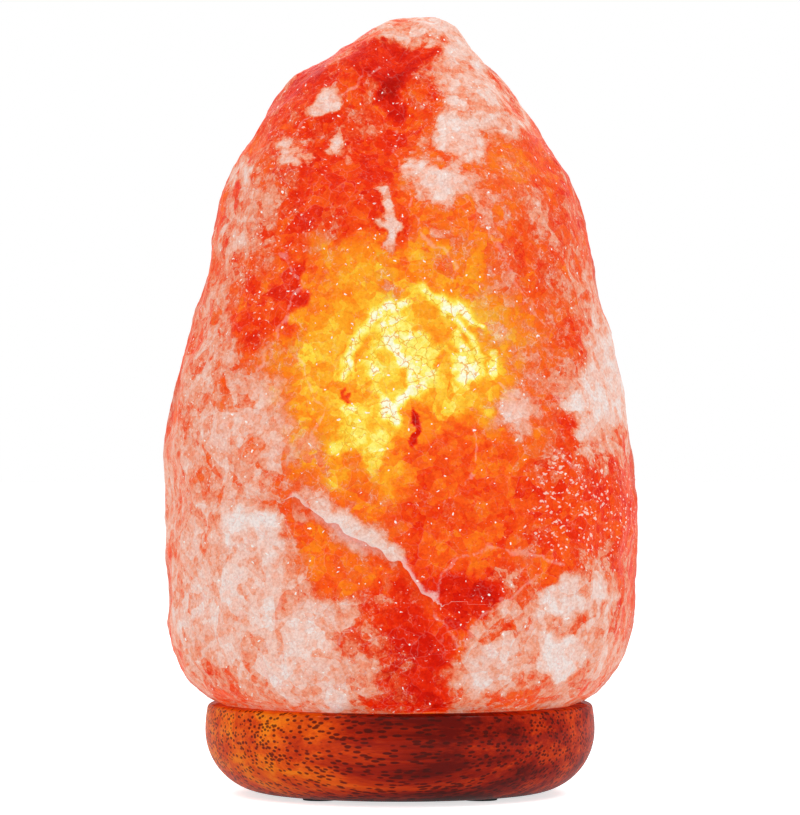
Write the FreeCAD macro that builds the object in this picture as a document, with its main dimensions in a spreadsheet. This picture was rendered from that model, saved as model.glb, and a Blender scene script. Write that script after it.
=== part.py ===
"""Salt crystal lamp: a hewn block of rock salt on a turned wooden base, lit from inside.

Millimetres, +Z up, X to the right and Y to the back. The origin is on the surface that the lamp
stands on, under the middle of the base. Three wood screws hold the base to the block. A lampholder
on a sprung bracket is pushed up the bore, and its bulb screws into it.
"""
import FreeCAD, Part
import math
import os
import re
import Sketcher
from FreeCAD import Placement, Rotation, Vector

# The driving sizes, in millimetres and degrees: name, value and what it is.
SIZE_LIST = [
    ("base_diameter", 118.8, "wooden base across its belly"),
    ("base_top_inset", 0.9, "flat top of the base, in from the belly, before its edge is rounded"),
    ("base_underside_inset", 18.6, "flat underside of the base, in from the belly"),
    ("base_height", 27.0, "wood, from underside to top"),
    ("base_belly_height", 19.0, "widest place, above the underside"),
    ("base_edge_round", 1.6, "round on the top edge"),
    ("base_bore_diameter", 52.0, "hole through the base"),
    ("base_bore_chamfer", 1.2, "chamfer at both ends of that hole"),
    ("cord_groove_width", 8.0, "channel in the underside, from the hole to the back"),
    ("cord_groove_depth", 8.0, "channel's depth"),
    ("foot_height", 2.0, "rubber foot"),
    ("foot_sink", 1.2, "recess in the underside that the foot is stuck into"),
    ("foot_diameter", 11.6, "rubber foot where it is stuck on"),
    ("foot_tread_diameter", 10.2, "rubber foot where it stands"),
    ("foot_circle_radius", 34.0, "feet, from the axis"),
    ("screw_circle_radius", 34.0, "wood screws, from the axis"),
    ("screw_length", 34.0, "wood screw, with its head"),
    ("screw_shank_diameter", 4.0, "wood screw"),
    ("screw_point_diameter", 0.6, "wood screw's point"),
    ("screw_head_diameter", 7.8, "wood screw"),
    ("screw_slot_width", 1.2, "bars of the cross recess"),
    ("screw_slot_length", 4.4, "cross recess across its bars"),
    ("screw_slot_depth", 1.5, "cross recess"),
    ("screw_well_diameter", 9.0, "counterbore that sinks the head into the underside"),
    ("screw_well_depth", 5.5, "counterbore"),
    ("screw_clearance", 0.2, "round the shank and the head"),
    ("crystal_height", 211.0, "salt block"),
    ("crystal_width", 147.4, "salt block, left to right"),
    ("crystal_depth", 130.0, "salt block, front to back"),
    ("crystal_seat_diameter", 109.0, "flat that the block stands on"),
    ("hew_depth", 2.2, "deepest chip between the hewn corners"),
    ("crystal_bore_diameter", 50.0, "hole for the lampholder and the bulb"),
    ("crystal_bore_depth", 131.0, "its depth to the drill's shoulder"),
    ("crystal_bore_point", 5.0, "height of the drill's point"),
    ("crystal_bore_chamfer", 2.0, "chamfer at its mouth"),
    ("bracket_lift", 41.0, "underside of the bracket plate, above the block's seat"),
    ("bracket_diameter", 38.6, "bracket plate"),
    ("bracket_thickness", 0.8, "bracket plate"),
    ("leg_count", 3, "sprung legs"),
    ("leg_width", 8.0, "sprung leg"),
    ("leg_thickness", 0.7, "sprung leg"),
    ("leg_rise", 20.0, "from the leg's root to its bend"),
    ("leg_tip_rise", 7.0, "from the bend to the tip"),
    ("leg_tip_inset", 3.4, "how far the tip leans back in"),
    ("running_gap", 0.3, "clearance between pieces that move on each other"),
    ("holder_diameter", 28.0, "lampholder barrel"),
    ("holder_rise", 26.0, "barrel above the bracket plate's underside"),
    ("holder_mouth_diameter", 20.4, "inside of the barrel"),
    ("holder_rim_round", 1.2, "round on the barrel's rim"),
    ("flange_diameter", 34.0, "shoulder under the bracket plate"),
    ("flange_thickness", 5.0, "shoulder"),
    ("spigot_diameter", 26.4, "lampholder below the shoulder"),
    ("spigot_length", 7.0, "lampholder below the shoulder"),
    ("block_diameter", 24.0, "contact block"),
    ("block_thickness", 6.0, "contact block"),
    ("block_lift", 2.0, "contact block's top above the bracket plate's underside"),
    ("clamp_ring_diameter", 35.0, "ring nut over the bracket plate"),
    ("clamp_ring_thickness", 7.0, "ring nut"),
    ("clamp_ring_flutes", 24, "finger grooves round the ring nut"),
    ("clamp_ring_flute_diameter", 1.8, "finger groove"),
    ("fit_gap", 0.2, "clearance between pieces that are screwed or pushed together"),
    ("cap_diameter", 31.0, "lampholder's rear cover"),
    ("cap_skirt_length", 11.0, "straight part of the rear cover"),
    ("cap_dome_height", 10.0, "domed part of the rear cover"),
    ("cap_neck_length", 4.0, "neck round the cord inlet"),
    ("cap_neck_diameter", 13.0, "neck round the cord inlet"),
    ("cap_wall", 1.8, "rear cover"),
    ("cord_inlet_diameter", 7.0, "hole for the cord"),
    ("screw_shell_bore", 14.3, "threaded brass sleeve, inside"),
    ("screw_shell_wall", 0.5, "threaded brass sleeve"),
    ("screw_shell_height", 18.0, "threaded brass sleeve"),
    ("screw_shell_window", 9.0, "hole in the sleeve's floor"),
    ("rivet_diameter", 1.6, "contact rivets"),
    ("rivet_head_diameter", 2.2, "contact rivets"),
    ("rivet_head_height", 0.7, "contact rivets"),
    ("tongue_thickness", 0.4, "centre contact"),
    ("tongue_width", 4.0, "centre contact"),
    ("tongue_reach", 2.2, "centre contact, past the axis"),
    ("tongue_flat", 2.6, "centre contact, level stretch"),
    ("terminal_offset", 6.0, "terminals, from the axis"),
    ("terminal_width", 5.0, "terminal, across the lampholder"),
    ("terminal_length", 6.0, "terminal, front to back"),
    ("terminal_height", 7.0, "terminal"),
    ("terminal_mouth", 3.0, "square hole that takes the wire"),
    ("terminal_screw_diameter", 2.4, "terminal screw"),
    ("terminal_screw_head", 3.6, "terminal screw's head"),
    ("terminal_screw_head_height", 1.6, "terminal screw's head"),
    ("terminal_screw_gap", 1.0, "head, below the terminal"),
    ("terminal_slot", 0.6, "terminal screw's slot"),
    ("bulb_seat_lift", 4.0, "bulb's contact above the contact block"),
    ("bulb_contact_diameter", 4.6, "solder contact"),
    ("bulb_contact_height", 1.6, "solder contact"),
    ("bulb_insulator_height", 2.9, "black glass above the contact"),
    ("bulb_insulator_diameter", 12.0, "black glass at its top"),
    ("bulb_thread_diameter", 13.9, "bulb cap over its thread"),
    ("bulb_thread_length", 13.0, "bulb cap"),
    ("bulb_skirt_diameter", 17.2, "bulb cap round the glass"),
    ("bulb_skirt_length", 6.0, "bulb cap round the glass"),
    ("bulb_cap_wall", 0.4, "bulb cap"),
    ("bulb_neck_diameter", 16.0, "glass inside the cap"),
    ("bulb_diameter", 28.0, "glass"),
    ("bulb_length", 60.0, "contact to crown"),
    ("bulb_glass_wall", 0.7, "glass"),
    ("stem_diameter", 4.6, "glass stem"),
    ("stem_height", 10.5, "glass stem"),
    ("stem_flare_thickness", 1.0, "foot of the stem"),
    ("lead_diameter", 0.6, "lead wires"),
    ("lead_spacing", 2.4, "lead wires in the stem"),
    ("filament_span", 12.0, "between the lead wires' ends"),
    ("filament_lift", 9.0, "lead wires' ends above the stem"),
    ("filament_diameter", 0.5, "filament, as a coil's outside"),
    ("filament_crown", 3.0, "supports above the lead wires' ends"),
    ("support_spacing", 5.0, "filament supports"),
    ("support_diameter", 0.4, "filament supports"),
]
SIZES = {name: number for name, number, note in SIZE_LIST}

# Levels that several pieces share, worked out from the sizes.
UNDERSIDE = "(foot_height - foot_sink)"
BASE_TOP = f"({UNDERSIDE} + base_height)"
BASE_TOP_RADIUS = "(base_diameter / 2 - base_top_inset)"
SCREW_SEAT = f"({UNDERSIDE} + screw_well_depth)"
SCREW_HEAD_HEIGHT = "((screw_head_diameter - screw_shank_diameter) / 2)"
PLATE_UNDER = f"({BASE_TOP} + bracket_lift)"
PLATE_TOP = f"({PLATE_UNDER} + bracket_thickness)"
FLANGE_UNDER = f"({PLATE_UNDER} - flange_thickness)"
SPIGOT_END = f"({FLANGE_UNDER} - spigot_length)"
BLOCK_TOP = f"({PLATE_UNDER} + block_lift)"
BLOCK_UNDER = f"({BLOCK_TOP} - block_thickness)"
SHELL_RIVET = "((screw_shell_bore + screw_shell_window) / 4)"
TONGUE_RIVET = "(rivet_head_diameter / 2 + fit_gap - screw_shell_window / 2)"
CAP_SHOULDER = f"({FLANGE_UNDER} - cap_skirt_length)"
CAP_NECK_TOP = f"({CAP_SHOULDER} - cap_dome_height)"
CAP_END = f"({CAP_NECK_TOP} - cap_neck_length)"
BULB_CONTACT = f"({BLOCK_TOP} + bulb_seat_lift)"
INSULATOR_UNDER = f"({BULB_CONTACT} + bulb_contact_height)"
BULB_CAP_END = f"({INSULATOR_UNDER} + bulb_insulator_height)"
THREAD_TOP = f"({BULB_CAP_END} + bulb_thread_length)"
SKIRT_TOP = f"({THREAD_TOP} + bulb_skirt_length)"
BULB_CROWN = f"({BULB_CONTACT} + bulb_length)"
BULB_BELLY = f"({BULB_CROWN} - bulb_diameter / 2)"
GLASS_NECK_END = f"({SKIRT_TOP} - bulb_skirt_length / 2)"
STEM_TOP = f"({GLASS_NECK_END} + stem_height)"
LEG_PIVOT_RADIUS = "(bracket_diameter / 2 + running_gap + leg_thickness / 2)"
LEG_PIVOT_LEVEL = f"({PLATE_UNDER} + bracket_thickness / 2)"
LEG_REACH = "sqrt((crystal_bore_diameter / 2 - running_gap) ^ 2 - (leg_width / 2) ^ 2)"

# The block's outline as rings, from the seat upwards: the height as a share of the block's, the reach
# to the left and right as shares of half its width, and to the front and back of half its depth.
CRYSTAL_RINGS = [
    (0.014, 0.835, 0.835, 0.88, 0.87),
    (0.055, 0.930, 0.932, 0.95, 0.94),
    (0.115, 0.969, 0.985, 0.98, 0.98),
    (0.205, 0.981, 1.000, 1.00, 1.00),
    (0.295, 0.986, 0.990, 0.99, 1.00),
    (0.380, 1.000, 0.970, 0.97, 0.98),
    (0.465, 0.930, 0.930, 0.94, 0.95),
    (0.555, 0.877, 0.863, 0.89, 0.90),
    (0.645, 0.795, 0.803, 0.83, 0.83),
    (0.730, 0.745, 0.750, 0.76, 0.74),
    (0.795, 0.665, 0.635, 0.66, 0.64),
    (0.850, 0.560, 0.567, 0.55, 0.54),
    (0.900, 0.470, 0.430, 0.43, 0.44),
    (0.943, 0.270, 0.310, 0.30, 0.31),
    (0.976, 0.140, 0.220, 0.18, 0.17),
]
CRYSTAL_PEAK = (0.060, 0.000)  # the peak's place, as shares of half the width and depth
CORNERS_A_RING = 16
SQUARENESS = 0.88  # 1 gives an oval ring, and less gives a boxier one
CORNER_SWAY = 0.28  # how far a corner wanders round its ring, as a share of their spacing
CORNER_STAGGER = 0.30  # how far it wanders up or down, as a share of the gap to the next ring
# Hollows: the middle's share of the height and degrees round the axis (270 is the front), half of the
# hollow's height as a share of the block's, half of its width in degrees, and its depth share.
HOLLOWS = [
    (0.84, 266, 0.13, 30, 0.24),
    (0.49, 273, 0.15, 34, 0.10),
    (0.19, 262, 0.10, 34, 0.06),
    (0.63, 62, 0.15, 36, 0.09),
    (0.34, 128, 0.14, 34, 0.08),
]

doc = FreeCAD.newDocument("salt_crystal_lamp")
sheet = doc.addObject("Spreadsheet::Sheet", "Sizes")
for row, (name, number, note) in enumerate(SIZE_LIST, start=1):
    sheet.set(f"A{row}", name)
    sheet.set(f"B{row}", str(number))
    sheet.set(f"C{row}", note)
    sheet.setAlias(f"B{row}", name)
doc.recompute()

finished = {}  # node name: the object that makes it
SAME = 0.001  # millimetres within which two places count as one


# ---------------------------------------------------------------- helpers

def bound(text):
    """The expression with each size's name turned into its cell."""
    return re.sub(r"[a-z_]+", lambda m: "Sizes." + m.group() if m.group() in SIZES else m.group(), text)


def worth(text):
    """The expression's value now."""
    return float(sheet.evalExpression(bound(text)))


def bind(thing, **properties):
    """Binds properties of an object to expressions. Two underscores stand for a dot."""
    for name, text in properties.items():
        thing.setExpression(name.replace("__", "."), bound(text))
    return thing


def keep(node, thing):
    """Names the object that makes a node."""
    thing.Label = node
    finished[node] = thing
    return thing


def new_body(name):
    body = doc.addObject("PartDesign::Body", name)
    return body


def new_sketch(body, name, role, level=None):
    """A sketch on one of the body's own planes, raised to a level if one is given."""
    sketch = body.newObject("Sketcher::SketchObject", name)
    plane = next(f for f in body.Origin.OriginFeatures if f.Role == role)
    sketch.AttachmentSupport = [(plane, "")]
    sketch.MapMode = "FlatFace"
    if level:
        bind(sketch, AttachmentOffset__Base__z=level)
    return sketch


def fix_point(sketch, edge, end, x, y):
    """Binds one end of an edge to its place."""
    for kind, text in (("DistanceX", x), ("DistanceY", y)):
        index = sketch.addConstraint(Sketcher.Constraint(kind, -1, 1, edge, end, worth(text)))
        sketch.setExpression(f"Constraints[{index}]", bound(text))


def arc_between(start, end, centre_x, centre_y, bulge):
    """An arc whose centre's X or Y is given; bulge 1 puts it left of the way from start to end."""
    middle = (start + end) / 2
    run = end - start
    if centre_y is None:
        centre = Vector(centre_x, middle.y - (centre_x - middle.x) * run.x / run.y, 0)
    else:
        centre = Vector(middle.x - (centre_y - middle.y) * run.y / run.x, centre_y, 0)
    first, last = (end, start) if bulge > 0 else (start, end)
    angles = [math.atan2(p.y - centre.y, p.x - centre.x) for p in (first, last)]
    circle = Part.Circle(centre, Vector(0, 0, 1), (start - centre).Length)
    return Part.ArcOfCircle(circle, angles[0], angles[1])


def outline(sketch, points):
    """Draws a closed outline. A point is (x, y) for a straight edge that ends there, or
    (x, y, "x" or "y", place, bulge) for an arc that ends there and whose centre has that X or Y."""
    corners = [Vector(worth(p[0]), worth(p[1]), 0) for p in points]
    ends = []
    for i, point in enumerate(points):
        start, end = corners[i - 1], corners[i]
        if len(point) == 2:
            edge = sketch.addGeometry(Part.LineSegment(start, end), False)
            ends.append((edge, 1, 2))
            continue
        axis, place, bulge = point[2:]
        centre_x = worth(place) if axis == "x" else None
        centre_y = worth(place) if axis == "y" else None
        edge = sketch.addGeometry(arc_between(start, end, centre_x, centre_y, bulge), False)
        ends.append((edge, 2, 1) if bulge > 0 else (edge, 1, 2))
        kind = "DistanceX" if axis == "x" else "DistanceY"
        index = sketch.addConstraint(Sketcher.Constraint(kind, -1, 1, edge, 3, worth(place)))
        sketch.setExpression(f"Constraints[{index}]", bound(place))
    for i, point in enumerate(points):
        edge, first, last = ends[i]
        following, next_first, _ = ends[(i + 1) % len(ends)]
        sketch.addConstraint(Sketcher.Constraint("Coincident", edge, last, following, next_first))
        fix_point(sketch, edge, last, point[0], point[1])


def round_hole(sketch, x, y, radius):
    """Draws a bound circle."""
    circle = Part.Circle(Vector(worth(x), worth(y), 0), Vector(0, 0, 1), worth(radius))
    edge = sketch.addGeometry(circle, False)
    fix_point(sketch, edge, 3, x, y)
    index = sketch.addConstraint(Sketcher.Constraint("Radius", edge, worth(radius)))
    sketch.setExpression(f"Constraints[{index}]", bound(radius))


def turned(body, name, points, groove=False):
    """Turns a profile of (radius, height) points round the axis, as material or as a cut."""
    sketch = new_sketch(body, name + "_profile", "XZ_Plane")
    outline(sketch, points)
    kind = "PartDesign::Groove" if groove else "PartDesign::Revolution"
    feature = body.newObject(kind, name)
    feature.Profile = sketch
    feature.ReferenceAxis = (sketch, ["V_Axis"])
    feature.Angle = 360
    body.Tip = feature
    return feature


def pushed(body, name, sketch, depth, kind="PartDesign::Pad", both_ways=False, backwards=False):
    """Pads or pockets a sketch by a bound depth."""
    feature = body.newObject(kind, name)
    feature.Profile = sketch
    feature.Midplane = both_ways
    feature.Reversed = backwards
    bind(feature, Length=depth)
    body.Tip = feature
    return feature


def patterned(body, name, features, count):
    """Repeats features evenly round the body's upright axis."""
    pattern = body.newObject("PartDesign::PolarPattern", name)
    pattern.Originals = features
    axis = next(f for f in body.Origin.OriginFeatures if f.Role == "Z_Axis")
    pattern.Axis = (axis, [""])
    pattern.Angle = 360
    pattern.Occurrences = count
    body.Tip = pattern


def ring_edges(shape, radius, centre):
    """Names of the level round edges of that radius about that centre."""
    found = []
    for number, edge in enumerate(shape.Edges, start=1):
        if not isinstance(edge.Curve, Part.Circle):
            continue
        if abs(edge.Curve.Radius - radius) < SAME and (edge.Curve.Center - centre).Length < SAME:
            found.append(f"Edge{number}")
    return found


def dressed(body, name, kind, places, size, x="0", y="0"):
    """Rounds or chamfers the round edges at the given (radius, level) places."""
    doc.recompute()
    base = body.Tip
    edges = []
    for radius, level in places:
        edges += ring_edges(base.Shape, worth(radius), Vector(worth(x), worth(y), worth(level)))
    feature = body.newObject("PartDesign::" + kind, name)
    feature.Base = (base, edges)
    bind(feature, **{"Radius" if kind == "Fillet" else "Size": size})
    body.Tip = feature
    return feature


def cylinder(name, radius, height, level, x="0", y="0"):
    """An upright Part cylinder, bound in size and place."""
    solid = doc.addObject("Part::Cylinder", name)
    bind(solid, Radius=radius, Height=height, Placement__Base__x=x, Placement__Base__y=y,
         Placement__Base__z=level)
    return solid


def cone(name, low_radius, high_radius, height, level, x="0", y="0"):
    """An upright Part cone, bound in size and place."""
    solid = doc.addObject("Part::Cone", name)
    bind(solid, Radius1=low_radius, Radius2=high_radius, Height=height, Placement__Base__x=x,
         Placement__Base__y=y, Placement__Base__z=level)
    return solid


def box(name, length, width, height, x, y, z):
    """A Part box centred on x and y, with its underside at z."""
    solid = doc.addObject("Part::Box", name)
    bind(solid, Length=length, Width=width, Height=height, Placement__Base__x=f"{x} - ({length}) / 2",
         Placement__Base__y=f"{y} - ({width}) / 2", Placement__Base__z=z)
    return solid


def fused(name, solids):
    join = doc.addObject("Part::MultiFuse", name)
    join.Shapes = solids
    return join


def cut(name, base, tool):
    result = doc.addObject("Part::Cut", name)
    result.Base = base
    result.Tool = tool
    return result


def grouped(name, solids):
    """Separate solids that share one node."""
    group = doc.addObject("Part::Compound", name)
    group.Links = solids
    return group


def round_wire(name, points, diameter):
    """A round wire through points, with mitred corners."""
    path = Part.makePolygon(points)
    start = points[0]
    section = Part.Wire(Part.makeCircle(diameter / 2, start, points[1] - start))
    return path.makePipeShell([section], True, False, 1)


# ---------------------------------------------------------------- wooden base

def place_on_circle(radius, degrees):
    """X and Y of a place on a circle, as expressions."""
    return f"{radius} * cos({degrees}deg)", f"{radius} * sin({degrees}deg)"


SCREW_ANGLES = (0, 180, 270)  # the fourth quarter, at the back, is the cord's channel
FOOT_ANGLES = {"foot_back_right": 45, "foot_back_left": 135, "foot_front_left": 225, "foot_front_right": 315}


def make_wood_base():
    """A turned bun of wood with a hole through it, a cord channel and sunk screw holes."""
    body = new_body("wood_base")
    belly = f"{UNDERSIDE} + base_belly_height"
    turned(body, "base_bun", [
        ("base_bore_diameter / 2", UNDERSIDE),
        ("base_diameter / 2 - base_underside_inset", UNDERSIDE),
        ("base_diameter / 2", belly, "y", belly, -1),
        (BASE_TOP_RADIUS, BASE_TOP, "y", belly, -1),
        ("base_bore_diameter / 2", BASE_TOP),
    ])
    dressed(body, "base_top_edge", "Fillet", [(BASE_TOP_RADIUS, BASE_TOP)], "base_edge_round")
    mouths = [("base_bore_diameter / 2", UNDERSIDE), ("base_bore_diameter / 2", BASE_TOP)]
    dressed(body, "base_bore_edges", "Chamfer", mouths, "base_bore_chamfer")

    channel = new_sketch(body, "cord_groove_section", "XZ_Plane")
    half = "cord_groove_width / 2"
    spring_line = f"{UNDERSIDE} + cord_groove_depth - cord_groove_width / 2"
    outline(channel, [
        (f"-{half}", f"{UNDERSIDE} - base_edge_round"),
        (half, f"{UNDERSIDE} - base_edge_round"),
        (half, spring_line),
        (f"-{half}", spring_line, "y", spring_line, -1),
    ])
    pushed(body, "cord_groove", channel, "base_diameter / 2", "PartDesign::Pocket")

    for angle in SCREW_ANGLES:
        x, y = place_on_circle("screw_circle_radius", angle)
        hole = new_sketch(body, f"screw_hole_{angle}_circle", "XY_Plane", UNDERSIDE)
        round_hole(hole, x, y, "screw_shank_diameter / 2 + screw_clearance")
        pushed(body, f"screw_hole_{angle}", hole, "base_height", "PartDesign::Pocket", backwards=True)
        well = new_sketch(body, f"screw_well_{angle}_circle", "XY_Plane", UNDERSIDE)
        round_hole(well, x, y, "screw_well_diameter / 2")
        pushed(body, f"screw_well_{angle}", well, "screw_well_depth", "PartDesign::Pocket", backwards=True)
        seat = [("screw_shank_diameter / 2 + screw_clearance", SCREW_SEAT)]
        dressed(body, f"screw_seat_{angle}", "Chamfer", seat, SCREW_HEAD_HEIGHT, x, y)

    for node, angle in FOOT_ANGLES.items():
        x, y = place_on_circle("foot_circle_radius", angle)
        recess = new_sketch(body, node + "_recess_circle", "XY_Plane", UNDERSIDE)
        round_hole(recess, x, y, "foot_diameter / 2 + fit_gap")
        pushed(body, node + "_recess", recess, "foot_sink", "PartDesign::Pocket", backwards=True)
    keep("wood_base", body)


def make_base_screws():
    """Countersunk wood screws with a cross recess. They run up through the base into the block."""
    screws = []
    for angle in SCREW_ANGLES:
        x, y = place_on_circle("screw_circle_radius", angle)
        head = cone(f"screw_head_{angle}", "screw_head_diameter / 2", "screw_shank_diameter / 2",
                    SCREW_HEAD_HEIGHT, SCREW_SEAT, x, y)
        shank = cylinder(f"screw_shank_{angle}", "screw_shank_diameter / 2",
                         f"screw_length - {SCREW_HEAD_HEIGHT} - screw_shank_diameter",
                         f"{SCREW_SEAT} + {SCREW_HEAD_HEIGHT}", x, y)
        point = cone(f"screw_point_{angle}", "screw_shank_diameter / 2", "screw_point_diameter / 2",
                     "screw_shank_diameter", f"{SCREW_SEAT} + screw_length - screw_shank_diameter", x, y)
        bars = fused(f"screw_cross_{angle}", [
            box(f"screw_bar_x_{angle}", "screw_slot_length", "screw_slot_width", "screw_slot_depth",
                x, y, SCREW_SEAT),
            box(f"screw_bar_y_{angle}", "screw_slot_width", "screw_slot_length", "screw_slot_depth",
                x, y, SCREW_SEAT),
        ])
        blank = fused(f"screw_blank_{angle}", [head, shank, point])
        screws.append(cut(f"screw_{angle}", blank, bars))
    keep("base_screws", grouped("base_screws", screws))


def make_feet():
    """Stuck-on rubber feet, a little narrower where they stand."""
    for node, angle in FOOT_ANGLES.items():
        x, y = place_on_circle("foot_circle_radius", angle)
        keep(node, cone(node, "foot_tread_diameter / 2", "foot_diameter / 2", "foot_height", "0", x, y))


# ---------------------------------------------------------------- salt block

def scatter(ring, corner, salt):
    """A fixed number from -1 to 1 for each corner of the block, which looks like chance."""
    wave = math.sin(12.9898 * ring + 78.233 * corner + 37.719 * salt) * 43758.5453
    return 2 * (wave - math.floor(wave)) - 1


def hollow_depth(share_up, degrees):
    """How far the hollows draw a corner in, as a share of its distance from the axis."""
    depth = 0.0
    for middle_up, middle_round, half_up, half_round, share in HOLLOWS:
        away = math.hypot((share_up - middle_up) / half_up, (degrees - middle_round) / half_round)
        depth += share * math.cos(math.pi / 2 * min(1.0, away))
    return depth


def hewn_corner(ring, corner, height, half_width, half_depth, hew):
    """One corner of the rough block. The corners on its left and right outline keep their reach."""
    share_up, left, right, front, back = CRYSTAL_RINGS[ring]
    on_outline = corner in (0, CORNERS_A_RING // 2)
    above = CRYSTAL_RINGS[ring + 1][0] if ring + 1 < len(CRYSTAL_RINGS) else 1.0
    sway = CORNER_SWAY * scatter(ring, corner, 1)
    rise = 0.0 if on_outline or ring == 0 else CORNER_STAGGER * scatter(ring, corner, 2)
    chip = 0.0 if on_outline or ring == 0 else hew * (scatter(ring, corner, 3) + 1) / 2
    angle = 2 * math.pi * (corner + sway) / CORNERS_A_RING
    cosine, sine = math.cos(angle), math.sin(angle)
    x = (right - left) / 2 + (right + left) / 2 * math.copysign(abs(cosine) ** SQUARENESS, cosine)
    y = (back - front) / 2 + (back + front) / 2 * math.copysign(abs(sine) ** SQUARENESS, sine)
    if on_outline:
        x = right if cosine > 0 else -left
    place = Vector(x * half_width, y * half_depth, 0)
    place *= 1 - chip / place.Length - hollow_depth(share_up, math.degrees(angle))
    level = height * (share_up + rise * (above - share_up))
    return Vector(place.x, place.y, level)


def dressed_to_size(rings, half_width, half_depth):
    """Moves and scales the corners sideways so that the block is exactly as wide and deep as it says."""
    corners = [c for ring in rings for c in ring]
    for axis, half in (("x", half_width), ("y", half_depth)):
        places = [getattr(c, axis) for c in corners]
        middle = (max(places) + min(places)) / 2
        spread = (max(places) - min(places)) / 2
        for c in corners:
            setattr(c, axis, (getattr(c, axis) - middle) * half / spread)


def triangle(a, b, c):
    return Part.Face(Part.makePolygon([a, b, c, a]))


def band_faces(low, high):
    """Flat facets between two rings. Each four corners are split along the way that stands proud."""
    faces = []
    count = len(low)
    for k in range(count):
        a, b, c, d = low[k], low[(k + 1) % count], high[(k + 1) % count], high[k]
        proud_ac = (a + c).sub(Vector(0, 0, (a + c).z)).Length
        proud_bd = (b + d).sub(Vector(0, 0, (b + d).z)).Length
        if proud_ac > proud_bd:
            faces += [triangle(a, b, c), triangle(a, c, d)]
        else:
            faces += [triangle(a, b, d), triangle(b, c, d)]
    return faces


def make_rough_block():
    """The hewn block before it is drilled: rings of wandering corners joined by flat facets."""
    height = worth("crystal_height")
    half_width = worth("crystal_width") / 2
    half_depth = worth("crystal_depth") / 2
    hew = worth("hew_depth")
    rings = [[hewn_corner(r, k, height, half_width, half_depth, hew) for k in range(CORNERS_A_RING)]
             for r in range(len(CRYSTAL_RINGS))]
    dressed_to_size(rings, half_width, half_depth)
    seat_radius = worth("crystal_seat_diameter") / 2
    seat = [Vector(seat_radius * math.cos(2 * math.pi * k / CORNERS_A_RING),
                   seat_radius * math.sin(2 * math.pi * k / CORNERS_A_RING), 0)
            for k in range(CORNERS_A_RING)]
    peak = Vector(CRYSTAL_PEAK[0] * half_width, CRYSTAL_PEAK[1] * half_depth, height)
    rings = [seat] + rings
    faces = [Part.Face(Part.makePolygon(seat + seat[:1]))]
    for low, high in zip(rings, rings[1:]):
        faces += band_faces(low, high)
    crown = rings[-1]
    faces += [triangle(crown[k], crown[(k + 1) % CORNERS_A_RING], peak) for k in range(CORNERS_A_RING)]
    solid = Part.Solid(Part.Shell(faces))
    if solid.Volume < 0:
        solid.reverse()
    rough = doc.addObject("Part::Feature", "rough_block")
    rough.Shape = solid
    rough.Placement = Placement(Vector(0, 0, worth(BASE_TOP)), Rotation())
    return rough


def make_salt_crystal():
    """The block, drilled from below for the lampholder and for the three screws."""
    radius = "crystal_bore_diameter / 2"
    drillings = [
        cylinder("crystal_bore", radius, "crystal_bore_depth", BASE_TOP),
        cone("crystal_bore_end", radius, "crystal_bore_point", "crystal_bore_point",
             f"{BASE_TOP} + crystal_bore_depth"),
        cone("crystal_bore_mouth", f"{radius} + crystal_bore_chamfer", radius, "crystal_bore_chamfer",
             BASE_TOP),
    ]
    bite = "screw_length + screw_well_depth - base_height"
    for angle in SCREW_ANGLES:
        x, y = place_on_circle("screw_circle_radius", angle)
        drillings.append(cylinder(f"screw_pilot_{angle}", "screw_shank_diameter / 2 + screw_clearance",
                                  f"{bite} + screw_clearance", BASE_TOP, x, y))
    rough = make_rough_block()
    keep("salt_crystal", cut("salt_crystal", rough, fused("crystal_drillings", drillings)))


# ---------------------------------------------------------------- sprung bracket

def make_bracket_plate():
    """The disc that is clamped round the lampholder and carries the sprung legs."""
    disc = cylinder("bracket_disc", "bracket_diameter / 2", "bracket_thickness", PLATE_UNDER)
    hole = cylinder("bracket_hole", "holder_diameter / 2 + fit_gap", "bracket_thickness", PLATE_UNDER)
    keep("bracket_plate", cut("bracket_plate", disc, hole))


def make_spring_legs():
    """Steel strips that spring out against the bore. Each root is a round roll on the leg's axis."""
    wall = "leg_thickness / 2"
    bend_chord = f"({LEG_REACH} - leg_thickness / 2)"
    bend_centre = f"({LEG_REACH} - 1.25 * leg_thickness)"
    bend_level = f"{LEG_PIVOT_LEVEL} + leg_rise"
    tip_level = f"{bend_level} + leg_tip_rise"
    tip_radius = f"({LEG_REACH} - leg_thickness / 2 - leg_tip_inset)"
    for number in range(int(worth("leg_count"))):
        node = f"spring_leg_{number + 1}"
        body = new_body(node)
        side = new_sketch(body, node + "_side", "XZ_Plane")
        outline(side, [
            (f"{LEG_PIVOT_RADIUS} + {wall}", LEG_PIVOT_LEVEL, "y", LEG_PIVOT_LEVEL, -1),
            (bend_chord, f"{bend_level} - leg_thickness"),
            (bend_chord, f"{bend_level} + leg_thickness", "x", bend_centre, -1),
            (f"{tip_radius} + {wall}", tip_level),
            (f"{tip_radius} - {wall}", tip_level),
            (f"{LEG_REACH} - 1.2 * leg_thickness", bend_level),
            (f"{LEG_PIVOT_RADIUS} - {wall}", LEG_PIVOT_LEVEL),
        ])
        pushed(body, node + "_strip", side, "leg_width", both_ways=True)
        angle = 90 + 360 * number / worth("leg_count")
        body.Placement = Placement(Vector(), Rotation(Vector(0, 0, 1), angle))
        keep(node, body)


# ---------------------------------------------------------------- lampholder

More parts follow.
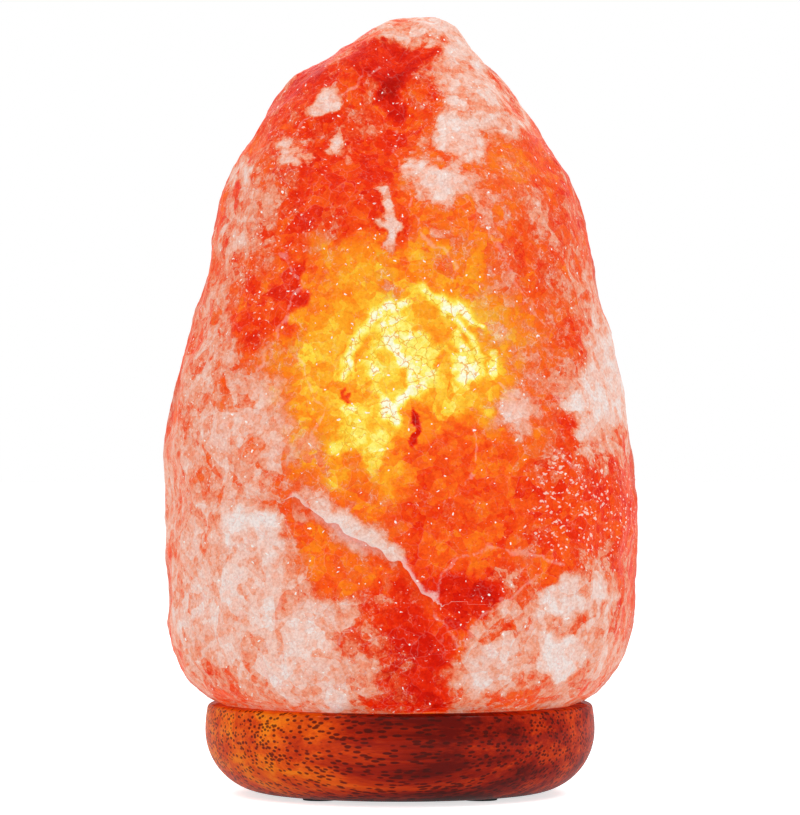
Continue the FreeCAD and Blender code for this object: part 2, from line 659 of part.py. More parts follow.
def make_holder_shell():
    """The barrel that the bulb goes into, with a shoulder for the bracket and a spigot below."""
    body = new_body("holder_shell")
    turned(body, "holder_barrel", [
        ("holder_mouth_diameter / 2", BLOCK_TOP),
        ("block_diameter / 2 + fit_gap", BLOCK_TOP),
        ("block_diameter / 2 + fit_gap", SPIGOT_END),
        ("spigot_diameter / 2", SPIGOT_END),
        ("spigot_diameter / 2", FLANGE_UNDER),
        ("flange_diameter / 2", FLANGE_UNDER),
        ("flange_diameter / 2", PLATE_UNDER),
        ("holder_diameter / 2", PLATE_UNDER),
        ("holder_diameter / 2", f"{PLATE_UNDER} + holder_rise"),
        ("holder_mouth_diameter / 2", f"{PLATE_UNDER} + holder_rise"),
    ])
    rim = [("holder_diameter / 2", f"{PLATE_UNDER} + holder_rise"),
           ("holder_mouth_diameter / 2", f"{PLATE_UNDER} + holder_rise")]
    dressed(body, "holder_rim", "Fillet", rim, "holder_rim_round")
    keep("holder_shell", body)


def make_clamp_ring():
    """The ring nut that clamps the bracket plate to the shoulder, with finger grooves round it."""
    body = new_body("clamp_ring")
    top = f"{PLATE_TOP} + clamp_ring_thickness"
    turned(body, "ring_blank", [
        ("holder_diameter / 2 + fit_gap", PLATE_TOP),
        ("clamp_ring_diameter / 2", PLATE_TOP),
        ("clamp_ring_diameter / 2", top),
        ("holder_diameter / 2 + fit_gap", top),
    ])
    dressed(body, "ring_edge", "Chamfer", [("clamp_ring_diameter / 2", top)], "clamp_ring_flute_diameter / 2")
    flute = new_sketch(body, "ring_flute_circle", "XY_Plane", PLATE_TOP)
    round_hole(flute, "clamp_ring_diameter / 2", "0", "clamp_ring_flute_diameter / 2")
    first = pushed(body, "ring_flute", flute, "clamp_ring_thickness", "PartDesign::Pocket", backwards=True)
    patterned(body, "ring_flutes", [first], int(worth("clamp_ring_flutes")))
    keep("clamp_ring", body)


def make_holder_cap():
    """The domed rear cover. An inner wall holds the contact block up, and the cord comes in below."""
    body = new_body("holder_cap")
    inlet = "cord_inlet_diameter / 2"
    wall_out = "(block_diameter / 2)"
    wall_in = f"({wall_out} - cap_wall)"
    ledge = f"({SPIGOT_END} - running_gap)"
    turned(body, "cap_dome", [
        (inlet, CAP_END),
        ("cap_neck_diameter / 2", CAP_END),
        ("cap_neck_diameter / 2", CAP_NECK_TOP),
        ("cap_diameter / 2", CAP_SHOULDER, "y", CAP_SHOULDER, -1),
        ("cap_diameter / 2", FLANGE_UNDER),
        ("spigot_diameter / 2 + fit_gap", FLANGE_UNDER),
        ("spigot_diameter / 2 + fit_gap", ledge),
        (wall_out, ledge),
        (wall_out, BLOCK_UNDER),
        (wall_in, BLOCK_UNDER),
        (wall_in, CAP_SHOULDER),
        (inlet, f"{CAP_NECK_TOP} + cap_wall", "y", CAP_SHOULDER, 1),
    ])
    dressed(body, "cap_neck_edge", "Chamfer", [("cap_neck_diameter / 2", CAP_END)], "cap_wall / 2")
    keep("holder_cap", body)


def make_contact_block():
    """The insulating disc that carries the contacts above and the terminals below."""
    disc = cylinder("block_disc", "block_diameter / 2", "block_thickness", BLOCK_UNDER)
    holes = [cylinder(f"block_hole_{side}", "rivet_diameter / 2", "block_thickness", BLOCK_UNDER, x)
             for side, x in (("shell", SHELL_RIVET), ("tongue", TONGUE_RIVET))]
    keep("contact_block", cut("contact_block", disc, fused("block_holes", holes)))


def make_screw_shell():
    """The brass sleeve that takes the bulb's thread, riveted through its floor."""
    body = new_body("screw_shell")
    outside = "screw_shell_bore / 2 + screw_shell_wall"
    top = f"{BLOCK_TOP} + screw_shell_height"
    turned(body, "sleeve", [
        ("screw_shell_window / 2", BLOCK_TOP),
        (outside, BLOCK_TOP),
        (outside, top),
        ("screw_shell_bore / 2", top),
        ("screw_shell_bore / 2", f"{BLOCK_TOP} + screw_shell_wall"),
        ("screw_shell_window / 2", f"{BLOCK_TOP} + screw_shell_wall"),
    ])
    hole = new_sketch(body, "sleeve_rivet_circle", "XY_Plane", BLOCK_TOP)
    round_hole(hole, SHELL_RIVET, "0", "rivet_diameter / 2")
    pushed(body, "sleeve_rivet_hole", hole, "screw_shell_wall", "PartDesign::Pocket", backwards=True)
    keep("screw_shell", body)


def make_contact_rivets():
    """Two rivets: one through the sleeve's floor, and one that the centre contact springs from."""
    rivets = []
    for side, x, seat in (("shell", SHELL_RIVET, f"{BLOCK_TOP} + screw_shell_wall"),
                          ("tongue", TONGUE_RIVET, BLOCK_TOP)):
        shank = cylinder(f"rivet_shank_{side}", "rivet_diameter / 2", f"{seat} - {BLOCK_UNDER}",
                         BLOCK_UNDER, x)
        head = cone(f"rivet_head_{side}", "rivet_head_diameter / 2", "rivet_diameter / 2",
                    "rivet_head_height", seat, x)
        rivets.append(fused(f"rivet_{side}", [shank, head]))
    keep("contact_rivets", grouped("contact_rivets", rivets))


def make_centre_contact():
    """A sprung brass tongue that rises from its rivet to the bulb's contact."""
    body = new_body("centre_contact")
    side = new_sketch(body, "tongue_side", "XZ_Plane")
    root_z = f"({BLOCK_TOP} + rivet_head_height + running_gap + tongue_thickness / 2)"
    top = f"({BULB_CONTACT} - running_gap)"
    half = "tongue_thickness / 2"
    bend = "(tongue_reach - tongue_flat)"
    outline(side, [
        (f"{TONGUE_RIVET} + {half}", root_z, "y", root_z, -1),
        (bend, f"{top} - tongue_thickness"),
        ("tongue_reach", f"{top} - tongue_thickness"),
        ("tongue_reach", top),
        (bend, top),
        (f"{TONGUE_RIVET} - {half}", root_z),
    ])
    pushed(body, "tongue_strip", side, "tongue_width", both_ways=True)
    keep("centre_contact", body)


def make_terminals():
    """Brass cages under the contact block, each with a slotted screw from below."""
    cages, screws = [], []
    cage_under = f"({BLOCK_UNDER} - terminal_height)"
    for side, sign in (("live", "-"), ("neutral", "")):
        x = f"{sign}terminal_offset"
        cage = box(f"cage_{side}", "terminal_width", "terminal_length", "terminal_height", x, "0", cage_under)
        mouth = box(f"cage_mouth_{side}", "terminal_mouth", "terminal_length", "terminal_mouth", x, "0",
                    f"{cage_under} + (terminal_height - terminal_mouth) / 2")
        tapping = cylinder(f"cage_tapping_{side}", "terminal_screw_diameter / 2",
                           "(terminal_height - terminal_mouth) / 2", cage_under, x)
        cages.append(cut(f"terminal_{side}", cage, fused(f"cage_holes_{side}", [mouth, tapping])))
        head_top = f"({cage_under} - terminal_screw_gap)"
        head = cylinder(f"terminal_head_{side}", "terminal_screw_head / 2", "terminal_screw_head_height",
                        f"{head_top} - terminal_screw_head_height", x)
        shank = cylinder(f"terminal_shank_{side}", "terminal_screw_diameter / 2",
                         "terminal_screw_gap + (terminal_height - terminal_mouth) / 2", head_top, x)
        slot = box(f"terminal_slot_{side}", "terminal_slot", "terminal_screw_head",
                   "terminal_screw_head_height / 2", x, "0", f"{head_top} - terminal_screw_head_height")
        screws.append(cut(f"terminal_screw_{side}", fused(f"terminal_blank_{side}", [head, shank]), slot))
    keep("terminals", grouped("terminals", cages))
    keep("terminal_screws", grouped("terminal_screws", screws))


# ---------------------------------------------------------------- bulb

def make_bulb_tip():
    """The solder contact and the black glass round it. Both are round about the axis."""
    contact = cone("cap_contact", "bulb_contact_diameter / 3", "bulb_contact_diameter / 2",
                   "bulb_contact_height", BULB_CONTACT)
    keep("cap_contact", contact)
    glass = cone("cap_insulator", "bulb_contact_diameter / 2 + bulb_contact_height / 2",
                 "bulb_insulator_diameter / 2", "bulb_insulator_height", INSULATOR_UNDER)
    keep("cap_insulator", glass)


def make_bulb_cap():
    """The thin screw cap, closed in below and flared round the glass above."""
    body = new_body("bulb_cap")
    thread = "bulb_thread_diameter / 2"
    skirt = "bulb_skirt_diameter / 2"
    flare = f"({THREAD_TOP} + (bulb_skirt_diameter - bulb_thread_diameter) / 2)"
    wall = "bulb_cap_wall"
    turned(body, "cap_drawn", [
        ("bulb_contact_diameter / 2", BULB_CAP_END),
        ("bulb_insulator_diameter / 2", BULB_CAP_END),
        (thread, f"{BULB_CAP_END} + {thread} - bulb_insulator_diameter / 2"),
        (thread, THREAD_TOP),
        (skirt, flare),
        (skirt, SKIRT_TOP),
        (f"{skirt} - {wall}", SKIRT_TOP),
        (f"{skirt} - {wall}", f"{flare} + {wall} / 2"),
        (f"{thread} - {wall}", f"{THREAD_TOP} + {wall} / 2"),
        (f"{thread} - {wall}", f"{BULB_CAP_END} + 2 * {wall}"),
        (f"{thread} - 2 * {wall}", f"{BULB_CAP_END} + {wall}"),
        ("bulb_contact_diameter / 2", f"{BULB_CAP_END} + {wall}"),
    ])
    keep("bulb_cap", body)


def make_bulb_glass():
    """The blown envelope: a neck in the cap, a swelling and a round crown, hollow throughout."""
    swell = f"({SKIRT_TOP} + bulb_glass_wall)"
    neck, belly, wall = "bulb_neck_diameter / 2", "bulb_diameter / 2", "bulb_glass_wall"
    middle = f"(({swell}) + ({BULB_BELLY})) / 2"
    body = new_body("bulb_glass")
    turned(body, "envelope", [
        (f"{neck} - {wall}", GLASS_NECK_END),
        (neck, GLASS_NECK_END),
        (neck, swell),
        (f"({neck} + {belly}) / 2", middle, "y", swell, 1),
        (belly, BULB_BELLY, "y", BULB_BELLY, -1),
        ("0", BULB_CROWN, "y", BULB_BELLY, -1),
        ("0", f"{BULB_CROWN} - {wall}"),
        (f"{belly} - {wall}", BULB_BELLY, "y", BULB_BELLY, 1),
        (f"({neck} + {belly}) / 2 - {wall}", middle, "y", BULB_BELLY, 1),
        (f"{neck} - {wall}", swell, "y", swell, -1),
    ])
    keep("bulb_glass", body)


def lead_path(side):
    """The corners of one lead wire: up through the stem, then out to the filament's end."""
    x = side * worth("lead_spacing") / 2
    return [
        Vector(x, 0, worth(BULB_CAP_END) + 3 * worth("bulb_cap_wall")),
        Vector(x, 0, worth(STEM_TOP) + worth("lead_diameter")),
        Vector(side * worth("filament_span") / 2, 0, worth(STEM_TOP) + worth("filament_lift")),
    ]


def make_bulb_mount():
    """The glass stem, the two lead wires through it, and the supported filament."""
    leads = [round_wire("lead", lead_path(side), worth("lead_diameter")) for side in (-1, 1)]
    wires = doc.addObject("Part::Feature", "lead_wires")
    wires.Shape = Part.Compound(leads)
    keep("lead_wires", wires)

    inner_neck = "(bulb_neck_diameter / 2 - bulb_glass_wall - fit_gap)"
    flare = cylinder("stem_flare", inner_neck, "stem_flare_thickness", GLASS_NECK_END)
    tube = cylinder("stem_tube", "stem_diameter / 2", "stem_height", GLASS_NECK_END)
    keep("bulb_stem", cut("bulb_stem", fused("stem_blank", [flare, tube]), wires))

    end_level = worth(STEM_TOP) + worth("filament_lift")
    crown_level = end_level + worth("filament_crown")
    half_span, half_support = worth("filament_span") / 2, worth("support_spacing") / 2
    clear = (worth("lead_diameter") + worth("filament_diameter")) / 2
    coil = doc.addObject("Part::Feature", "filament")
    coil.Shape = round_wire("filament", [
        Vector(-half_span, 0, end_level + clear),
        Vector(-half_support, 0, crown_level),
        Vector(half_support, 0, crown_level),
        Vector(half_span, 0, end_level + clear),
    ], worth("filament_diameter"))
    keep("filament", coil)

    under_coil = crown_level - (worth("support_diameter") + worth("filament_diameter")) / 2
    rods = []
    for side in (-1, 1):
        rods.append(round_wire("support", [
            Vector(side * worth("stem_diameter") / 6, worth("stem_diameter") / 4, worth(STEM_TOP)),
            Vector(side * half_support, 0, under_coil),
        ], worth("support_diameter")))
    supports = doc.addObject("Part::Feature", "filament_supports")
    supports.Shape = Part.Compound(rods)
    keep("filament_supports", supports)


# ---------------------------------------------------------------- build, check and write

def check_document():
    """Stops if a feature failed or a node's shape isn't sound."""
    for thing in doc.Objects:
        if "Invalid" in thing.State or "Error" in thing.State:
            raise RuntimeError(f"{thing.Name} failed: {thing.State}")
    for node, thing in finished.items():
        if thing.Shape.isNull() or not thing.Shape.isValid() or not thing.Shape.Solids:
            raise RuntimeError(f"{node} has no sound shape")


make_wood_base()
make_base_screws()
make_feet()
make_salt_crystal()
make_bracket_plate()
make_spring_legs()
make_holder_shell()
make_clamp_ring()
make_holder_cap()
make_contact_block()
make_screw_shell()
make_contact_rivets()
make_centre_contact()
make_terminals()
make_bulb_tip()
make_bulb_cap()
make_bulb_glass()
make_bulb_mount()
doc.recompute()
check_document()

os.makedirs("parts", exist_ok=True)
for node, thing in finished.items():
    thing.Shape.exportStep(f"parts/{node}.step")
    print(f"{node}: {len(thing.Shape.Solids)} solids, {thing.Shape.Volume / 1000:.2f} cm3")
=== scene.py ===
"""Looks of the salt crystal lamp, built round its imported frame.

The file is laid out as an add-on and is run as a script. Metres, +Z up, with the front towards -Y.
Sizes with MM in them are given in millimetres.
"""
import math

import bmesh
import bpy
import numpy as np
from bpy.props import FloatProperty, FloatVectorProperty, PointerProperty
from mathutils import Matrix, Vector, noise


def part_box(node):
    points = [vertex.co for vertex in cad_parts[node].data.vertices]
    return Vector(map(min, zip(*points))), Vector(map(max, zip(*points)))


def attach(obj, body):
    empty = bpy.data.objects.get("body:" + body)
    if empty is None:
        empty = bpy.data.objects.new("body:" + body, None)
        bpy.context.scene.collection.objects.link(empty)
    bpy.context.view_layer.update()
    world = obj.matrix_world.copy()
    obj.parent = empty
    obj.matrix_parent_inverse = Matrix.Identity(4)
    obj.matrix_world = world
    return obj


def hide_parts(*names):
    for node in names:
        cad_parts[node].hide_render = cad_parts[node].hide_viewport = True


bl_info = {
    "name": "Salt Crystal Lamp",
    "version": (1, 0, 0),
    "blender": (4, 5, 0),
    "location": "View3D > Sidebar > Salt Lamp",
    "description": "Builds and finishes a hewn rock salt lamp round its fixed frame",
    "category": "Object",
}

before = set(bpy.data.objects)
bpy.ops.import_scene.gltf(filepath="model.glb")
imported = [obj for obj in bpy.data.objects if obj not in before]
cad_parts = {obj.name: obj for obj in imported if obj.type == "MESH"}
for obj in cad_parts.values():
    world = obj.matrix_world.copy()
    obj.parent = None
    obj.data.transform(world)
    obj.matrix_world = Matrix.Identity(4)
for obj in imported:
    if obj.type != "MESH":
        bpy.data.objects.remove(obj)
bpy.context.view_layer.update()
MM = 0.001
ROCK_LOW, ROCK_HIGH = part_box("salt_crystal")
SEAT = ROCK_LOW.z  # the level that the rock stands on
SHARP = math.radians(50)  # a larger angle between two faces is drawn as an edge
WELD = 0.002 * MM  # points nearer than this are merged


def srgb(code):
    """Linear RGBA for an sRGB hex colour."""
    channels = [int(code[i:i + 2], 16) / 255 for i in (1, 3, 5)]
    return tuple(c / 12.92 if c <= 0.04045 else ((c + 0.055) / 1.055) ** 2.4 for c in channels) + (1.0,)


# ---------------------------------------------------------------- settings

class RockSettings(bpy.types.PropertyGroup):
    """Sizes and colours of the rock."""
    mesh_edge: FloatProperty(name="Mesh edge", description="Longest edge on the rock's front",
                             default=1.4 * MM, unit="LENGTH", subtype="DISTANCE")
    chip_depth: FloatProperty(name="Chip depth", description="Depth of the largest chipped hollows",
                              default=1.3 * MM, unit="LENGTH", subtype="DISTANCE")
    glow: FloatProperty(name="Glow", description="Strength of the light that comes through the salt",
                        default=1.0, min=0.0, subtype="FACTOR")


class WoodSettings(bpy.types.PropertyGroup):
    """Colours of the wooden base."""
    pore: FloatVectorProperty(name="Pore", description="Stain gathered in the open pores",
                              default=srgb("#4A0E04"), size=4, subtype="COLOR")


class FittingSettings(bpy.types.PropertyGroup):
    """Sizes of the lampholder's and the bulb's threads and of the filament."""
    cap_pitch: FloatProperty(name="Cap pitch", description="Rise of the bulb's thread in a turn",
                             default=2.822 * MM, unit="LENGTH", subtype="DISTANCE")
    barrel_pitch: FloatProperty(name="Barrel pitch", description="Rise of the barrel's thread in a turn",
                                default=2.5 * MM, unit="LENGTH", subtype="DISTANCE")
    coil_pitch: FloatProperty(name="Coil pitch", description="Rise of the filament in a turn",
                              default=0.3 * MM, unit="LENGTH", subtype="DISTANCE")
    filament_glow: FloatProperty(name="Filament glow", description="Strength of the hot filament's light",
                                 default=6.0, min=0.0, subtype="FACTOR")


class StageSettings(bpy.types.PropertyGroup):
    """The camera and the lights."""
    camera_distance: FloatProperty(name="Camera distance", description="From the lamp's axis",
                                   default=1.45, unit="LENGTH", subtype="DISTANCE")
    camera_height: FloatProperty(name="Camera height", description="Above the floor",
                                 default=0.1178, unit="LENGTH", subtype="DISTANCE")
    camera_lens: FloatProperty(name="Camera lens", description="Focal length", default=209.8,
                               unit="CAMERA")


# ---------------------------------------------------------------- helpers

def add(tree, kind, inputs=(), out=0, stops=(), **settings):
    """Adds a shader node and returns one of its outputs. Inputs are numbered in a tuple or named in a
    dict, and each is a value or another node's output. Stops are a colour ramp's (place, hex)."""
    node = tree.nodes.new("ShaderNode" + kind)
    for name, value in settings.items():
        setattr(node, name, value)
    for name, value in (inputs.items() if isinstance(inputs, dict) else enumerate(inputs)):
        if isinstance(value, bpy.types.NodeSocket):
            tree.links.new(value, node.inputs[name])
        else:
            node.inputs[name].default_value = value
    for number, (place, code) in enumerate(stops):
        ramp = node.color_ramp.elements
        stop = ramp[number] if number < 2 else ramp.new(place)
        stop.position = place
        stop.color = srgb(code)
    return node.outputs[out]


def new_material(name, **sockets):
    """A material with one Principled shader, whose constant sockets are set here."""
    material = bpy.data.materials.new(name)
    material.use_nodes = True
    shader = material.node_tree.nodes["Principled BSDF"]
    for socket, value in sockets.items():
        shader.inputs[socket.replace("_", " ")].default_value = value
    return material, material.node_tree, shader


def weighed(tree, start, parts):
    """Adds outputs to a start value, each times its weight."""
    total = start
    for socket, weight in parts:
        total = add(tree, "Math", (socket, weight, total), operation="MULTIPLY_ADD")
    return total


def finished(name, bm, material, body, slot, *nodes):
    """Turns a bmesh into a smooth piece that rides on a body and stands for CAD nodes."""
    for face in bm.faces:
        face.smooth = True
    for edge in bm.edges:
        edge.smooth = len(edge.link_faces) < 2 or edge.calc_face_angle(0) < SHARP
    mesh = bpy.data.meshes.new(name)
    bm.to_mesh(mesh)
    bm.free()
    piece = bpy.data.objects.new(name, mesh)
    bpy.context.scene.collection.objects.link(piece)
    mesh.materials.append(material)
    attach(piece, body)
    if nodes:
        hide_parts(*nodes)
    return piece


def painted(material, *nodes):
    """Gives CAD nodes a better material."""
    for node in nodes:
        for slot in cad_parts[node].material_slots:
            slot.material = material


def in_millimetres(tree):
    """Object coordinates in millimetres."""
    place = add(tree, "TexCoord", out="Object")
    return add(tree, "VectorMath", {"Vector": place, "Scale": 1 / MM}, operation="SCALE")


def wandering(name, grain, colours, dulls, relief, stretch=(1, 1, 1), **sockets):
    """A material whose colour, roughness and relief wander together. The grain is its size in
    millimetres, colours and dulls are the two ends of each, and the relief is in millimetres."""
    material, tree, shader = new_material(name, **sockets)
    stretched = add(tree, "Mapping", {"Vector": in_millimetres(tree), "Scale": stretch})
    cloud = add(tree, "TexNoise", {"Vector": stretched, "Scale": 1 / grain, "Detail": 5.0,
                                   "Roughness": 0.6})
    colour = add(tree, "ValToRGB", (cloud,), stops=[(0.3, colours[0]), (0.7, colours[1])])
    dull = add(tree, "MapRange", {"Value": cloud, "From Min": 0.3, "From Max": 0.7, "To Min": dulls[0],
                                  "To Max": dulls[1]})
    bump = add(tree, "Bump", {"Height": cloud, "Strength": 0.6, "Distance": relief * MM}, out="Normal")
    tree.links.new(colour, shader.inputs["Base Color"])
    tree.links.new(dull, shader.inputs["Roughness"])
    tree.links.new(bump, shader.inputs["Normal"])
    return material


# ---------------------------------------------------------------- the rock's shape

BORE_LIMIT = 45 * MM  # outside this radius, below the bore's end, is the rock's outer face
BORE_END = SEAT + 137 * MM
SOFT_FROM = SEAT + 0.5 * MM  # the rock is divided and softened above this level
CARVED_FROM = SEAT + 0.2 * MM  # it is carved above this level, and never below it
DIVISIONS = 7  # each halves the edges that are still too long
SOFTENING = 0.45
MOST_TRIANGLES = 198000
GLOW_MIDDLE = Vector((0.002, 0, SEAT + 0.1))
GLOW_REACH = 32 * MM
GLOW_EDGES = 0.62  # share of the longest edge that is allowed over the bulb's glow
BACK_EDGES = 1.6  # and at the back
CHIP_CURVE = 2.2  # how soon a chip's bowl rises to its ridges


def is_outside(vert):
    """True on the rock's outer face, and false in its bore and its screw holes."""
    return math.hypot(vert.co.x, vert.co.y) > BORE_LIMIT or vert.co.z > BORE_END


def is_skin(face):
    """True for a facet of the rock's outer face, above its flat seat."""
    return all(is_outside(v) for v in face.verts) and any(v.co.z > SOFT_FROM for v in face.verts)


def edge_limit(edge, longest):
    """Longest edge allowed there: short over the bulb's glow, and long at the back."""
    middle = (edge.verts[0].co + edge.verts[1].co) / 2
    if middle.y > 0:
        return BACK_EDGES * longest
    glow = math.hypot(middle.x - GLOW_MIDDLE.x, middle.z - GLOW_MIDDLE.z)
    return GLOW_EDGES * longest if glow < GLOW_REACH else longest


def divided_rock(longest):
    """The hewn block from the frame, merged, with its outer facets divided and softened in steps."""
    bm = bmesh.new()
    bm.from_mesh(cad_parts["salt_crystal"].data)
    bmesh.ops.remove_doubles(bm, verts=bm.verts, dist=WELD)
    for _ in range(DIVISIONS):
        skin = [f for f in bm.faces if is_skin(f)]
        split = [e for e in dict.fromkeys(e for f in skin for e in f.edges)
                 if e.calc_length() > edge_limit(e, longest)]
        bmesh.ops.subdivide_edges(bm, edges=split, cuts=1, use_grid_fill=True)
        bmesh.ops.triangulate(bm, faces=[f for f in bm.faces if len(f.verts) > 3],
                              quad_method="SHORT_EDGE", ngon_method="EAR_CLIP")
        free = [v for v in bm.verts if v.co.z > SOFT_FROM and is_outside(v)]
        bmesh.ops.smooth_vert(bm, verts=free, factor=SOFTENING, use_axis_x=True, use_axis_y=True,
                              use_axis_z=True)
    return bm


def seen_from_front(places):
    """Where each point lies on the upright plane through the axis, in millimetres, in two rows: right
    of the axis, and above the rock's seat, as drawn in perspective from in front of the lamp."""
    settings = bpy.context.scene.stage_settings
    reach = settings.camera_distance / (settings.camera_distance + places[:, 1])
    across = places[:, 0] * reach / MM
    up = (settings.camera_height + (places[:, 2] - settings.camera_height) * reach - SEAT) / MM
    return np.stack([across, up])


def step(low, high, values):
    """A smooth rise from 0 at low to 1 at high."""
    t = np.clip((values - low) / (high - low), 0, 1)
    return t * t * (3 - 2 * t)


def rough(places, size, salt=0.0):
    """Noise from about -1 to 1 at each point, for features of that size in metres."""
    shift = Vector((salt, 2.3 * salt, -1.7 * salt))
    return np.array([noise.noise(Vector(p) / size + shift) for p in places])


def chips(places, size, salt=0.0):
    """Bowl-shaped hollows side by side: 1 in the middle of each and 0 on the ridges between them."""
    shift = Vector((salt, -salt, 0.5 * salt))
    bowls = []
    for p in places:
        gaps = noise.voronoi(Vector(p) / size + shift)[0]
        bowls.append(1 - min(1.0, gaps[0] * gaps[0] * CHIP_CURVE))
    return np.array(bowls)


def line_gap(across, up, line):
    """Distance from each point to a line through (across, up) corners, and 1 above it or -1 below."""
    nearest = np.full(len(across), 1e9)
    side = np.ones(len(across))
    for (ax, ay), (bx, by) in zip(line, line[1:]):
        run = math.hypot(bx - ax, by - ay)
        along = np.clip(((across - ax) * (bx - ax) + (up - ay) * (by - ay)) / run ** 2, 0, 1)
        dx, dy = across - ax - along * (bx - ax), up - ay - along * (by - ay)
        gap = np.hypot(dx, dy)
        closer = gap < nearest
        nearest = np.where(closer, gap, nearest)
        side = np.where(closer, np.sign(dy + 1e-9), side)
    return nearest, side


# Features of the front face, in millimetres: across from the axis, and up from the seat.
LEDGE = [(-32, 62), (-22, 55), (-4.5, 45), (0, 43), (10, 30)]  # a break that stands proud above its line
BRANCH = [(10, 30), (13, 38), (17, 44), (28, 47), (41, 45), (50, 42)]
VEINS = [  # pale ridges between clear patches
    BRANCH,
    [(-36, 33), (-38, 27), (-40, 18), (-43, 11)],
    [(-22, 14), (-17, 22), (-9, 33)],
    [(10, 30), (14, 22), (18, 17), (24, 24), (33, 32), (42, 38)],
    [(-37, 170), (-22, 183), (-15, 188), (-5, 194)],
    [(-1, 176), (-2, 168), (2, 160), (4, 150), (7, 142), (16, 135), (17, 128)],
    [(30, 97), (36, 88), (46, 78), (54, 70), (60, 62)],
    [(47, 95), (56, 83), (64, 76)],
    [(28, 142), (34, 130), (42, 118), (46, 112)],
    [(-36, 138), (-31, 128), (-34, 118), (-40, 108), (-44, 100)],
    [(-33, 106), (-28, 98), (-24, 90), (-27, 78)],
    [(13, 60), (20, 66), (24, 74), (22, 84)],
]
ARCS = [  # raised edges of the hollow over the bulb, with painted light: their glow is painted near white
    [(-17, 100), (-15.5, 106), (-11, 114), (-6, 119), (1, 122.5)],
    [(7.5, 126), (15, 122), (21, 117.5), (25, 114)],
    [(9, 123), (16, 118), (22, 112), (23, 108)],
    [(17, 112), (20, 106), (24, 100)],
]
# Clear salt, from the front: middle across and up, half width, half height, tilt in degrees, softness
# of the edge, and painted glow from 0, dark red, to 1, white: the bulb's light painted through the salt.
GLOW_PATCHES = [
    (-2, 104, 46, 50, 0, 0.35, 0.50),
    (-1, 104, 38, 42, 0, 0.18, 0.64),
    (4, 102, 27, 26, 10, 0.25, 0.72),
    (-24, 112, 12, 20, 20, 0.3, 0.68),
    (1.5, 105, 11, 12, 0, 0.2, 0.93),
    (-2.5, 93, 5.5, 6.5, 0, 0.2, 0.95),
    (-15.5, 84, 4.5, 9, -25, 0.25, 0.84),
    (-8, 77, 4, 7, 0, 0.25, 0.82),
    (20, 105, 4, 7, 15, 0.2, 0.88),
    (27.5, 104, 2, 4.5, -10, 0.2, 0.93),
    (12, 117, 7, 6, 0, 0.3, 0.74),
    (-12, 136, 18, 12, -10, 0.3, 0.58),
    (-4, 100, 3, 10, 12, 0.2, 0.74),
    (13.5, 108, 2, 8, -20, 0.2, 0.72),
    (6, 85, 8, 6, 30, 0.3, 0.62),
    (5.5, 83, 1.2, 4.5, 10, 0.3, 0.10),
    (-17, 94, 1.0, 2.2, 10, 0.2, 0.36),
    (16, 72, 14, 12, 30, 0.5, 0.38),
    (30, 60, 14, 20, -20, 0.4, 0.40),
    (8, 58, 7, 12, 10, 0.5, 0.36),
    (-33.5, 128, 4.5, 15, -8, 0.25, 0.30),
    (-42, 117, 7, 8, 0, 0.3, 0.34),
    (-50, 132, 8, 10, 0, 0.4, 0.36),
    (-18, 150, 20, 18, 10, 0.4, 0.32),
    (-12, 168, 22, 14, 0, 0.4, 0.30),
    (-5, 140, 9, 14, 10, 0.3, 0.38),
    (14, 160, 14, 20, 0, 0.4, 0.46),
    (30, 150, 16, 22, 0, 0.4, 0.46),
    (-4, 196, 18, 7, 20, 0.3, 0.20),
    (-1.4, 186, 4, 8, 5, 0.2, 0.10),
    (-28, 188, 18, 6, 35, 0.3, 0.26),
    (40, 90, 7, 10, -30, 0.3, 0.42),
    (55, 63, 18, 19, -10, 0.35, 0.34),
    (47, 40, 12, 10, 0, 0.4, 0.36),
    (-20, 44, 18, 14, -20, 0.4, 0.48),
    (-30, 30, 14, 10, 0, 0.4, 0.42),
    (4, 26, 11, 22, 0, 0.6, 0.27),
    (19, 32, 10, 8, 0, 0.3, 0.22),
    (-2, 8, 18, 14, 0, 0.5, 0.17),
    (7, 8, 5, 14, 0, 0.3, 0.16),
    (-13, 134, 15, 8, -10, 0.4, 0.66),
    (14, 132, 9, 7, 10, 0.4, 0.60),
]
